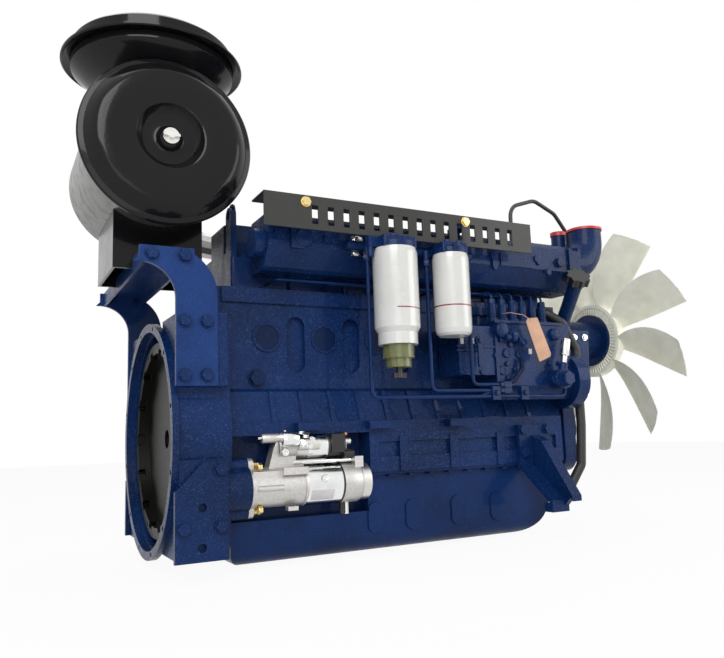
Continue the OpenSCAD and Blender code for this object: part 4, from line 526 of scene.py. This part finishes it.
class ENGINE_OT_stage(bpy.types.Operator):
    """Pale floor, soft studio light and the camera"""

    bl_idname = "engine.stage"
    bl_label = "Stage"

    def execute(self, context):
        scene, stage = context.scene, context.scene.engine_stage
        scene.view_settings.view_transform = "Standard"
        self.floor(stage)
        self.world(scene)
        self.lamp("key_light", (-1.6, -3.4, 2.6), (0.3, 0.0, 0.2), 2.6, stage.key)
        self.lamp("side_light", (3.6, -2.4, 1.2), (0.6, 0.0, 0.2), 2.2, stage.fill)
        self.lamp("top_light", (0.4, 0.6, 3.6), (0.4, 0.0, 0.0), 3.0, 42.0)
        self.lamp("low_light", (-0.9, -3.2, 0.0), (0.4, 0.0, 0.0), 1.8, 14.0)
        self.camera(scene)
        return {"FINISHED"}

    def floor(self, stage):
        half, low = 9.0, CAD_BOX[0][2]
        mesh = bpy.data.meshes.new("floor")
        corners = [(x * half, y * half, low) for x, y in ((-1, -1), (1, -1), (1, 1), (-1, 1))]
        mesh.from_pydata(corners, [], [(0, 1, 2, 3)])
        f = Finish("floor_paint", tuple(stage.floor), 0.6)
        path = f.tree.nodes.new("ShaderNodeLightPath")
        seen = Wire(f, path.outputs["Is Camera Ray"]) + Wire(f, path.outputs["Is Glossy Ray"])
        glow = f.node("ShaderNodeEmission", None, {"Color": (1, 1, 1, 1), "Strength": 1.0})
        both = f.node("ShaderNodeMixShader", None, {0: seen * 0.94, 1: f.shader.outputs[0], 2: glow})
        out = next(n for n in f.tree.nodes if n.type == "OUTPUT_MATERIAL")
        f.tree.links.new(both.socket, out.inputs["Surface"])
        mesh.materials.append(f.material)
        floor = bpy.data.objects.new("floor", mesh)
        bpy.context.scene.collection.objects.link(floor)

    def world(self, scene):
        world = bpy.data.worlds.new("studio")
        scene.world = world
        world.use_nodes = True
        tree = world.node_tree
        sky = next(n for n in tree.nodes if n.type == "BACKGROUND")
        path = tree.nodes.new("ShaderNodeLightPath")
        add = [tree.nodes.new("ShaderNodeMath") for _ in range(3)]
        for node, operation in zip(add, ("MAXIMUM", "MAXIMUM", "MULTIPLY_ADD")):
            node.operation = operation
        tree.links.new(path.outputs["Is Camera Ray"], add[0].inputs[0])
        tree.links.new(path.outputs["Is Glossy Ray"], add[0].inputs[1])
        tree.links.new(add[0].outputs[0], add[1].inputs[0])
        tree.links.new(path.outputs["Is Transmission Ray"], add[1].inputs[1])
        tree.links.new(add[1].outputs[0], add[2].inputs[0])
        add[2].inputs[1].default_value, add[2].inputs[2].default_value = 0.86, 0.14
        tree.links.new(add[2].outputs[0], sky.inputs["Strength"])
        sky.inputs["Color"].default_value = (1, 1, 1, 1)

    def lamp(self, name, place, target, size, power):
        data = bpy.data.lights.new(name, "AREA")
        data.shape, data.size, data.energy = "SQUARE", size, power
        lamp = bpy.data.objects.new(name, data)
        bpy.context.scene.collection.objects.link(lamp)
        back = unit(np.array(place, float) - np.array(target, float))
        side = unit(np.cross([0, 0, 1.0], back))
        rows = np.stack([side, np.cross(back, side), back], 1)
        lamp.matrix_world = Matrix([[*rows[i], place[i]] for i in range(3)] + [[0, 0, 0, 1]])

    def camera(self, scene):
        """The pinhole that was solved from the photograph."""
        wide, focal, centre, middle = 724, 720.81, (362.9, 329.1), (362.0, 329.0)
        yaw, pitch, roll = (math.radians(a) for a in (27.97, 8.22, -2.01))
        d = np.array([math.sin(yaw) * math.cos(pitch), math.cos(yaw) * math.cos(pitch), math.sin(pitch)])
        r = np.array([math.cos(yaw), -math.sin(yaw), 0.0])
        u = np.cross(r, d)
        right, up = math.cos(roll) * r + math.sin(roll) * u, -math.sin(roll) * r + math.cos(roll) * u
        data = bpy.data.cameras.new("camera")
        data.sensor_fit, data.sensor_width, data.lens = "HORIZONTAL", 36.0, 36.0 * focal / wide
        data.shift_x, data.shift_y = (middle[0] - centre[0]) / wide, (centre[1] - middle[1]) / wide
        data.clip_start, data.clip_end = 0.05, 60.0
        camera = bpy.data.objects.new("camera", data)
        place = (-0.3481, -1.7769, -0.0024)
        camera.matrix_world = Matrix([[right[i], up[i], -d[i], place[i]] for i in range(3)] + [[0, 0, 0, 1]])
        scene.collection.objects.link(camera)
        scene.camera = camera


FILTER_BAR_Z = 441.5
LINE_X = (452.0, 618.5, 741.5)
LINE_Y = -305.0
FAN_HUB = (1477.0, 0.0, 280.0)
FAN_BLADES = 10
FAN_TURN = math.radians(5.4)
FAN_ROOT_R, FAN_TIP_R = 110.0, 366 - 1.5
BLADE_CHORD, BLADE_TILT = 135, 29
STARTER_Y, STARTER_Z = -225.0, -113.5
VALVES = [857 + 34.8 * i for i in range(6)]
CYLINDERS = [240 + 148 * i for i in range(6)]
CLEANER_HUB = (-7, -245, 647)
RAIN_CAP_FOOT = (-7, -95, 826)
ALONG, OUT, UP, DOWN = (1, 0, 0), (0, -1, 0), (0, 0, 1), (0, 0, -1)


def stud(radius, height):
    """Profile of a plain round stud."""
    return [[0, 0], [radius, 0], [radius, height], [0, height]]


class ENGINE_OT_pipes(bpy.types.Operator):
    """Fuel lines and injection lines, bent from round tube, with their union nuts"""

    bl_idname = "engine.pipes"
    bl_label = "Pipes"

    def execute(self, context):
        self.fuel_pipes()
        self.injection_pipes()
        return {"FINISHED"}

    def fuel_pipes(self):
        """Three lines that run down from the filter bar and along the pump, each on its own level."""
        low, top, level, bend = Shape(), FILTER_BAR_Z - 24, (79, 94, 109), 14
        feed_x, pump_x = 1043.8, 834.9
        x = LINE_X[0]
        routes = [[[x, LINE_Y, top], [x, LINE_Y, level[0]], [feed_x, LINE_Y, level[0]], [feed_x, LINE_Y, 97.7]]]
        for x, z in zip(LINE_X[1:], level[1:]):
            routes.append([[x, LINE_Y, top], [x, LINE_Y, z], [pump_x, LINE_Y, z]])
        for route in routes:
            low.tube(route, bend, 4.95, 6)
        for x in LINE_X:
            low.nut([[0, 0], [8.2, 0], [8.6, 2], [8.6, 12], [8.2, 14], [0, 14]], (x, LINE_Y, top - 15), UP)
        for z in level[1:]:
            low.nut([[0, 0], [7.0, 0], [7.4, 2], [7.4, 11], [0, 11]], (834, LINE_Y, z), (-1, 0, 0))
        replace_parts(low.build("fuel_pipes", finish("blue_sheet"), "engine", "engine_blue"), "fuel_lines")

    def injection_pipes(self):
        """One line for each cylinder: it rises from its valve, turns into its lane and ends at the head."""
        jets, high, bend = Shape(), 362, 14
        for i, x in enumerate(VALVES):
            lane = -222 + 9 * i
            goal = CYLINDERS[i] + (-12 if i == 5 else 12)
            route = [[x, -250, 330], [x, -250, high], [x - 12, lane, high], [goal, lane, high], [goal, -150, high]]
            jets.tube(route, bend, 3.2, 5, 12)
            jets.nut([[0, 0], [8.0, 0], [8.6, 2], [8.6, 13], [7, 16], [0, 16]], (x, -250, 326), UP)
        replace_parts(jets.build("injection_pipes", finish("blue_sheet"), "engine", "engine_blue"), "injection_lines")


class ENGINE_OT_hoses(bpy.types.Operator):
    """Breather hose and vent hose"""

    bl_idname = "engine.hoses"
    bl_label = "Hoses"

    def execute(self, context):
        hose = Shape()
        breather = [
            [1056, -192.1, 322], [1056, -232, 322], [1106, -249, 288], [1149, -250, 214],
            [1151, -246, 0], [1146, -240, -110], [1114, -226, -168],
        ]
        hose.tube(breather, 26, 12.9, 3, 24)
        vent = [
            [1006, -172, 508.1], [1009, -172, 643], [1108, -165, 676],
            [1192, -158, 646], [1249, -150, 588], [1249, -150, 556.1],
        ]
        path, _ = evenly(rounded_route(vent, 42), 5)
        path[1:-1] = (path[:-2] + 2 * path[1:-1] + path[2:]) / 4
        hose.add(swept(path, 5.9, 16))
        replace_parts(hose.build("engine_hoses", finish("rubber"), "engine", "rubber"), "rubber_hoses")
        return {"FINISHED"}


class ENGINE_OT_fan(bpy.types.Operator):
    """Moulded fan: a ribbed ring with ten broad curved blades"""

    bl_idname = "engine.fan"
    bl_label = "Fan"

    def execute(self, context):
        shape = Shape()
        for i in range(FAN_BLADES):
            shape.add(self.blade(2 * math.pi * i / FAN_BLADES + FAN_TURN))
        ring = [
            [75, -14], [84, -14], [86, -11], [108, -11], [110, -14], [121, -13],
            [122, -10], [122, 10], [121, 13], [110, 14], [75, 14],
        ]
        shape.lathe(ring, FAN_HUB, ALONG, 120, hole=True)
        ribs = 60
        for i in range(ribs):
            shape.add(self.rib(2 * math.pi * i / ribs))
        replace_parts(shape.build("fan_moulding", finish("ivory"), "fan_assembly", "ivory_plastic"), "fan")
        bolts, x, y, z = Shape(), *FAN_HUB
        for i in range(6):
            a = 2 * math.pi * i / 6 + 0.3
            bolts.bolt((x + 14, y + 92 * math.cos(a), z + 92 * math.sin(a)), ALONG, 6, 1.0)
        bolts.build("fan_bolts", finish("zinc"), "fan_assembly", "zinc")
        return {"FINISHED"}

    def rib(self, a):
        """Low radial rib on the back of the ring: four corners are carried outwards over three radii."""
        out, side = np.array([0, math.cos(a), math.sin(a)]), np.array([0, -math.sin(a), math.cos(a)])
        corners = ((-1.2, -14.2), (1.2, -14.2), (1.2, -10), (-1.2, -10))
        place = lambda rad, w, x: np.array(FAN_HUB) + out * rad + side * w + np.array([x, 0, 0])
        return np.array([[place(rad, w, x) for w, x in corners] for rad in (85.5, 97, 108.5)])

    def blade(self, turn):
        """Blade: a section, a flattened superellipse, is carried outwards from the ring. At share s of the way out the
        chord is 135 (0.364 + 1.727 s - 1.179 s s) and the pitch 29 (1.498 - 1.386 s + 0.889 s s) degrees, and the
        section bends round the axis and leans forward by a square law."""
        s = np.linspace(0, 1, 30)[:, None]
        a = np.linspace(0, 2 * np.pi, 40, endpoint=False)[None]
        across, thick = np.cos(a) * np.ones_like(s), np.sin(a) * np.ones_like(s)
        t = 0.5 * np.sign(across) * np.abs(across) ** 0.6
        half = (2.0 - 0.5 * s) * np.sign(thick) * np.abs(thick) ** 0.7
        chord = BLADE_CHORD * (0.364 + 1.727 * s - 1.179 * s * s)
        tilt = np.radians(BLADE_TILT * (1.498 - 1.386 * s + 0.889 * s * s))
        sweep = BLADE_CHORD * (0.095 - 0.167 * s + 0.561 * s * s)
        rho = FAN_ROOT_R + (FAN_TIP_R - FAN_ROOT_R) * s
        angle = (t * chord * np.cos(tilt) + sweep) / rho + turn
        x = t * chord * np.sin(tilt) + half + 14 * (0.25 - 0.5 * s)
        return np.stack([FAN_HUB[0] + x, rho * np.cos(angle), FAN_HUB[2] + rho * np.sin(angle)], 2)


class ENGINE_OT_starter(bpy.types.Operator):
    """Small parts of the starter: relay, through bolts, contacts, cap, band and bare label place"""

    bl_idname = "engine.starter"
    bl_label = "Starter"

    def execute(self, context):
        self.castings()
        self.plated_parts()
        self.dark_parts()
        y, z = STARTER_Y, STARTER_Z
        tip = Shape()
        tip.lathe([[0, 0], [4.2, 0], [4.2, 6], [3.4, 7], [0, 7]], (404, y - 22, z + 110.5), (0.9, -0.1, 0.25), 20)
        tip.build("starter_terminal", finish("copper"), "engine", "brass")
        place = Shape()
        place.add(self.curved_plate(311, 366, -165, -133))
        place.build("starter_label_place", finish("label"), "engine", "zinc")
        nuts = Shape()
        for dz in (-46, 46):
            nuts.bolt((189, y - 27, z + dz), ALONG, 5.2, 1.6)
        nuts.build("starter_nuts", finish("brass"), "engine", "brass")
        return {"FINISHED"}

    def castings(self):
        """Relay bush, clamp blocks, the band round the yoke and the end cap."""
        y, z = STARTER_Y, STARTER_Z
        cast = Shape()
        cast.lathe([[0, 0], [9.5, 0], [10.5, 2], [10.5, 40], [0, 40]], (205, y - 11, z + 107), ALONG)
        cast.boxes([
            ((244, -246, 72), (262, -228, 112)),
            ((176, -273, -2.5), (240, -262, 4)),
            ((176, -262, 18), (246, -255, 36)),
            ((243, -272, 26), (302, -246, 42)),
            ((426, -257, 34), (448, -238, 59)),
            ((256, -262, -52), (280, -244, -43)),
        ], z)
        cast.lathe([[0, 0], [46.2, 0], [46.2, 3], [45.4, 5], [0, 5]], (298, y, z), ALONG, 64)
        cap = [[0, 0], [46.0, 0], [46.6, 2], [46.6, 44], [43, 50], [38, 54], [0, 54]]
        cast.lathe(cap, (394, y, z), ALONG, 64)
        cast.build("starter_castings", finish("aluminium"), "engine", "aluminium")

    def plated_parts(self):
        """Yoke sleeve, solenoid parts, through bolts and contact nuts."""
        y, z = STARTER_Y, STARTER_Z
        shine = Shape()
        shine.lathe(stud(45.6, 86), (304, y, z), ALONG, 96)
        relay = [[0, 0], [15.5, 0], [17, 2], [17, 36], [15.5, 38], [0, 38]]
        shine.lathe(relay, (244, -258, z + 104), ALONG, 40)
        shine.lathe(stud(12.5, 5), (258, -228, z + 116), ALONG)
        for dy, dz in ((-21, 52), (25, 50)):
            rod = [[0, 0], [5.2, 0], [5.2, 158], [4.2, 160], [0, 160]]
            shine.lathe(rod, (276, y + dy, z + dz), ALONG, 24)
        plug = [[0, 0], [9.5, 0], [10, 1.5], [8, 4], [4, 4.6], [3, 2], [0, 2]]
        shine.lathe(plug, (253.5, -255.6, z + 75), OUT)
        rivet = [[0, 0], [8.5, 0], [9, 1.5], [7.5, 4], [3.6, 4.4], [3, 2.4], [0, 2.4]]
        shine.lathe(rivet, (342.6, -269.6, z + 14), (0, -1, 0.05))
        contacts = (
            (292, -262, 94, (0.2, -1, 0.2)), (303, -255, 108, (0, -0.4, 1)), (309, -264, 87, OUT),
            (318, -258, 100, (0, -1, 0.3)), (296, -247, 116, (0, -0.3, 1)),
        )
        for x, side, height, axis in contacts:
            shine.bolt((x, side, z + height), axis, 4.2, 1.1)
        shine.lathe(stud(27.6, 50), (312, y, z + 84), ALONG, 48)
        shine.lathe(stud(3.4, 12), (197, -236, z + 108), ALONG, 16)
        shine.build("starter_plated", finish("chrome"), "engine", "zinc")

    def dark_parts(self):
        """Solenoid cap, contact blocks, ribbed boot, seal and drain tube."""
        y, z = STARTER_Y, STARTER_Z
        dark = Shape()
        dark.lathe([[0, 0], [29.5, 0], [30.5, 2], [30.5, 40], [27, 46], [0, 46]], (362, y, z + 84), ALONG, 48)
        dark.boxes([((366, -262, 70), (398, -240, 112)), ((300, -258, 84), (312, -240, 118))], z)
        for k in range(5):
            r = 9.5 - 0.5 * (k % 2)
            fold = [[0, 0], [r, 0], [r + 0.5, 1.5], [r + 0.5, 5], [0, 5]]
            dark.lathe(fold, (398 + 5 * k, -252, z + 66), (1, 0, -0.05), 24)
        dark.lathe([[0, 0], [6, 0], [6, 24], [5, 27], [0, 27]], (380, -244, z + 104), (0.9, -0.1, 0.25), 24)
        dark.lathe([[0, 0], [45.9, 0], [46.9, 1], [46.9, 4], [45.9, 5], [0, 5]], (390, y, z), ALONG, 64)
        dark.lathe(stud(5.4, 28), (402, -228, z - 72), UP, 20)
        dark.build("starter_dark", finish("plastic"), "engine", "black_plastic")

    def curved_plate(self, x0, x1, low, high):
        """Thin plate bent round the yoke: point(u, v) lies at radius 45.7 or 46.3, at an even angle."""
        a = np.radians(np.linspace(low, high, 10))
        inner, outer = 45.7, 46.3
        rows = []
        for x, rad in ((x0, inner), (x0, outer), (x1, outer), (x1, inner)):
            rows.append(np.stack([np.full_like(a, x), STARTER_Y + rad * np.cos(a), STARTER_Z + rad * np.sin(a)], 1))
        return np.stack(rows, 1)


class ENGINE_OT_pump(bpy.types.Operator):
    """Small parts of the injection pump and feed pump, and the bare label places"""

    bl_idname = "engine.pump"
    bl_label = "Pump"

    def execute(self, context):
        self.castings()
        hose = Shape()
        bend = [[906, -300, 178], [904, -302, 150], [874, -303, 120], [820, -303, 96], [757, -300, 78]]
        path, run = evenly(rounded_route(bend, 14, 8), 1.5)
        pitch = 5.0
        hose.add(swept(path, 6.2 + 0.7 * np.cos(run * 2 * np.pi / pitch), 20))
        hose.build("pump_hose", finish("dark_blue"), "engine", "engine_blue")
        places = Shape()
        for x, z, wide, high in ((726, 221, 10, 15), (757, 222, 14, 15)):
            places.box((x - wide / 2, -289, z - high / 2), (x + wide / 2, -287.6, z + high / 2))
        places.box((941, -291, 192), (951, -288, 206))
        places.build("pump_label_places", finish("label"), "engine", "zinc")
        rod = Shape()
        knob = [[0, 2], [7.6, 2], [8.4, 4], [8.4, 20], [11.6, 22], [12.6, 24], [12.6, 66], [11.4, 68], [0, 68]]
        rod.lathe(knob, (1036, -316, 165), (18, 0, 78), 48)
        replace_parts(rod.build("primer_knob", finish("chrome"), "primer", "zinc"), "primer_plunger")
        return {"FINISHED"}

    def castings(self):
        """Delivery valves, plugs, domed covers, unions and bolts of the pump."""
        cast, face = Shape(), -288
        body = [
            [0, 0], [12.5, 0], [12.5, 6], [10.4, 7], [11.6, 12], [10.2, 14],
            [11.6, 18], [10.2, 20], [11.2, 24], [8.2, 27], [8.2, 34], [0, 34],
        ]
        for x in VALVES:
            cast.lathe(body, (x, -250, 284), UP)
            cast.nut([[0, 0], [8.8, 0], [9.4, 2], [9.4, 22], [8.0, 26], [0, 26]], (x, -250, 318), UP)
        cast.boxes([((831, -292.5, 272), (1062, -289, 280)), ((828, -293, 84), (838, -288.2, 262))])
        for x, z, r in ((866, 192, 12.5), (849, 147, 12), (829, 186, 7), (905, 190, 9), (1000, 200, 11)):
            plug = [[0, 0], [r, 0], [r, 4], [r - 1.5, 6], [r - 5, 6], [r - 5, 4.4], [0, 4.4]]
            cast.lathe(plug, (x, face, z), OUT)
        for x, z, r, high in ((846, 252, 21, 14), (1033, 247, 17, 6)):
            arc = np.linspace(0, np.pi / 2, 8)[:-1]
            dome = [[r * math.cos(t) ** 0.5, high + 9 * math.sin(t)] for t in arc]
            cast.lathe([[0, 0], [r, 0]] + dome + [[0, high + 9]], (x, -287, z), OUT, 40)
        union = [[0, 0], [7.5, 0], [9, 2], [9, 12], [7.5, 14], [0, 14]]
        for x, y, z, drop in ((853, -306, 233, -0.1), (874, -306, 231, -0.1), (897, -304, 225, 0)):
            cast.lathe(union, (x, y, z), (1, 0, drop), 28)
        cast.bolt((884, -302, 238), (0, -1, 0.2), 6, 1.3)
        cast.bolt((910, -302, 221), OUT, 6, 1.5)
        cast.box((840, -300, 222), (918, -287, 230))
        for x, z in ((866, 165), (890, 150), (866, 128), (1010, 168), (1045, 168), (880, 215)):
            cast.bolt((x, face, z), OUT, 4.2, 1.1)
        cast.bolt((1027, -330, 124), OUT, 12, 1.1)
        cast.bolt((1003, -318, 121), (0, -1, 0.2), 7, 1.4)
        cast.lathe([[0, 0], [27.5, 0], [27.5, 6], [25, 8], [0, 8]], (1027, -318, 124), OUT, 40)
        cast.box((706, -292.5, 194), (786, -284, 200))
        for x, z in ((719, 248), (719, 142), (783, 142)):
            cast.bolt((x, face, z), OUT, 3.6, 1.0)
        for x in (807, 900):
            cast.box((x - 12, -314, 70), (x + 12, -296, 104))
            cast.bolt((x, -314, 88), OUT, 4.0, 1.2)
        cast.build("pump_parts", finish("blue"), "engine", "engine_blue")


class ENGINE_OT_cleaner(bpy.types.Operator):
    """Cover with its dish, and the funnel under the rain cap"""

    bl_idname = "engine.cleaner"
    bl_label = "Air cleaner"

    def execute(self, context):
        lid = Shape()
        rim = [[166, 1], [186, 1], [189, 4], [189, 8], [186, 12], [180, 14], [176, 15]]
        dome = [[176 - 34 * q, 15 + 27 * math.sin(q * math.pi / 2)] for q in np.linspace(0, 1, 14)]
        dish = [
            [136, 43.2], [120, 43.8], [78, 43.8], [73, 42], [66, 30], [58, 23],
            [34, 21], [29, 23], [23, 34], [17, 38.6], [0, 38.6], [0, 1],
        ]
        lid.lathe(rim + dome + dish, CLEANER_HUB, OUT, 128)
        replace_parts(lid.build("cleaner_cover", finish("black"), "engine", "cover_black", 30), "air_cleaner_cover")
        band = Shape()
        funnel = [[96, 0], [150, 16], [186, 42], [188, 44], [188, 60], [186, 62], [150, 30], [96, 10]]
        band.lathe(funnel, RAIN_CAP_FOOT, UP, 96, hole=True)
        band.build("rain_cap_funnel", finish("black"), "engine", "black_paint")
        return {"FINISHED"}


class ENGINE_OT_bolts(bpy.types.Operator):
    """Bolts of pan, manifold, side plate and filters, paper tag and hose clamp"""

    bl_idname = "engine.bolts"
    bl_label = "Bolts and tag"

    def execute(self, context):
        self.painted_parts()
        self.zinc_parts()
        clamp = Shape()
        band = [[13.4, 0], [15.2, 0], [15.2, 24], [13.4, 24]]
        clamp.lathe(band, (1150.1, -247.8, 96), (0.0093, 0.0187, -1), 40, hole=True)
        clamp.build("hose_clamp", finish("brass"), "engine", "brass")
        self.tag()
        return {"FINISHED"}

    def painted_parts(self):
        """Bolts, pads, lifting ring and rail bars in the engine's paint."""
        small = Shape()
        for x in [250 + 58 * i for i in range(14)]:
            small.bolt((x if x > 350 else x + 240, -222, -102.5), DOWN, 4.5, 1.0)
        for x, z in ((855, 456), (1000, 459), (1040, 425), (700, 462), (300, 452), (360, 452)):
            small.bolt((x, -275.2, z), OUT, 6.0, 1.0)
        for x in (500, 520, 655, 690):
            small.bolt((x, -348, 455), UP, 5.5, 1.2)
        small.add(self.oval(846, 864, 418, 466))
        small.boxes([((876, -278.6, 434), (974, -274, 466)), ((1120, -282, 400), (1132, -262, 500))])
        for x in (514, 669):
            small.nut([[0, 0], [10, 0], [10.5, 2], [10.5, 10], [0, 12]], (x, -362, 440), OUT)
        small.lathe([[0, 0], [22, 0], [23, 3], [23, 9], [20, 12], [0, 12]], (300, -275, 452), OUT, 40)
        small.add(self.hoop(), close_u=True, caps=False)
        for x in (286, 470, 700):
            small.box((x, -257, 8), (x + 62, -231.5, 26))
        small.build("small_bolts", finish("blue"), "engine", "engine_blue")

    def zinc_parts(self):
        """Bolts of the side plate, the pad by the filters and the screw of the clamp."""
        zinc = Shape()
        for x, z in ((1180, 254), (1221, 255)):
            zinc.lathe([[0, 0], [10, 0], [10.5, 1.5], [9.5, 3], [0, 3]], (x, -214, z), OUT)
            zinc.bolt((x, -217, z), OUT, 4.8, 1.0, False)
        zinc.box((424, -280, 420), (455, -274.5, 468))
        for z in (430, 458):
            zinc.bolt((439, -280, z), OUT, 6.0, 1.1)
        zinc.bolt((1170.8, -252, 86), OUT, 5.2, 1.2)
        zinc.box((1161.8, -252, 80), (1178.8, -246, 92))
        zinc.build("zinc_bolts", finish("chrome"), "engine", "zinc")

    def tag(self):
        """Bare paper tag on a string."""
        tag, thick = Shape(), 1.0
        corner = [[906, 272], [912, 281], [945, 285], [982, 190], [979, 181], [941, 167]]
        front = [[x, -330 + 0.02 * (z - 167), z] for x, z in corner]
        tag.add(np.array([front, [[x, y + thick, z] for x, y, z in front]], float))
        tag.build("paper_tag", finish("card"), "engine", "filter_paper")
        cord = Shape()
        route = [[921, -331, 276], [905, -318, 292], [880, -296, 300], [878, -262, 302]]
        path, _ = evenly(rounded_route(route, 8, 6), 3)
        cord.add(swept(path, 1.0, 8))
        cord.build("tag_string", finish("card"), "engine", "filter_paper")

    def hoop(self):
        """Lifting ring: a tube of radius 4 carried round a circle of radius 15."""
        x, y, z, large, small = 177, -127, 545, 15, 4.0
        ring = np.linspace(0, 2 * np.pi, 33)[:-1]
        turn = np.linspace(0, 2 * np.pi, 13)[:-1]
        line = np.stack([x + 0 * ring, y + large * np.cos(ring), z + large * np.sin(ring)], 1)
        out = np.stack([0 * ring, np.cos(ring), np.sin(ring)], 1)
        side = np.array(ALONG, float) * np.sin(turn)[None, :, None]
        return line[:, None] + small * (out[:, None] * np.cos(turn)[None, :, None] + side)

    def oval(self, x0, x1, z0, z1):
        """Flat oval pad: a superellipse outline between two heights."""
        a = np.linspace(0, 2 * np.pi, 33)[:-1]
        x = (x0 + x1) / 2 + (x1 - x0) / 2 * np.sign(np.cos(a)) * np.abs(np.cos(a)) ** 0.8
        z = (z0 + z1) / 2 + (z1 - z0) / 2 * np.sign(np.sin(a)) * np.abs(np.sin(a)) ** 0.8
        return np.stack([np.stack([x, np.full_like(x, y), z], 1) for y in (-274, -281)])


class ENGINE_PT_panel(bpy.types.Panel):
    bl_label = "Engine"
    bl_space_type = "VIEW_3D"
    bl_region_type = "UI"
    bl_category = "Engine"

    def draw(self, context):
        scene = context.scene
        for name in ("blue", "black", "canister", "red", "ivory"):
            self.layout.prop(scene.engine_paint, name)
        for name in ("floor", "key", "fill"):
            self.layout.prop(scene.engine_stage, name)
        for operator in OPERATORS:
            self.layout.operator(operator.bl_idname)


OPERATORS = [
    ENGINE_OT_stage, ENGINE_OT_finishes, ENGINE_OT_pipes, ENGINE_OT_hoses, ENGINE_OT_fan,
    ENGINE_OT_starter, ENGINE_OT_pump, ENGINE_OT_cleaner, ENGINE_OT_bolts,
]
CLASSES = [EnginePaint, EngineStage, *OPERATORS, ENGINE_PT_panel]


def register():
    for cls in CLASSES:
        bpy.utils.register_class(cls)
    bpy.types.Scene.engine_paint = bpy.props.PointerProperty(type=EnginePaint)
    bpy.types.Scene.engine_stage = bpy.props.PointerProperty(type=EngineStage)


def unregister():
    del bpy.types.Scene.engine_paint, bpy.types.Scene.engine_stage
    for cls in reversed(CLASSES):
        bpy.utils.unregister_class(cls)


def main():
    register()
    bpy.ops.engine.stage()
    bpy.ops.engine.finishes()
    bpy.ops.engine.pipes()
    bpy.ops.engine.hoses()
    bpy.ops.engine.fan()
    bpy.ops.engine.starter()
    bpy.ops.engine.pump()
    bpy.ops.engine.cleaner()
    bpy.ops.engine.bolts()


if __name__ == "__main__":
    main()
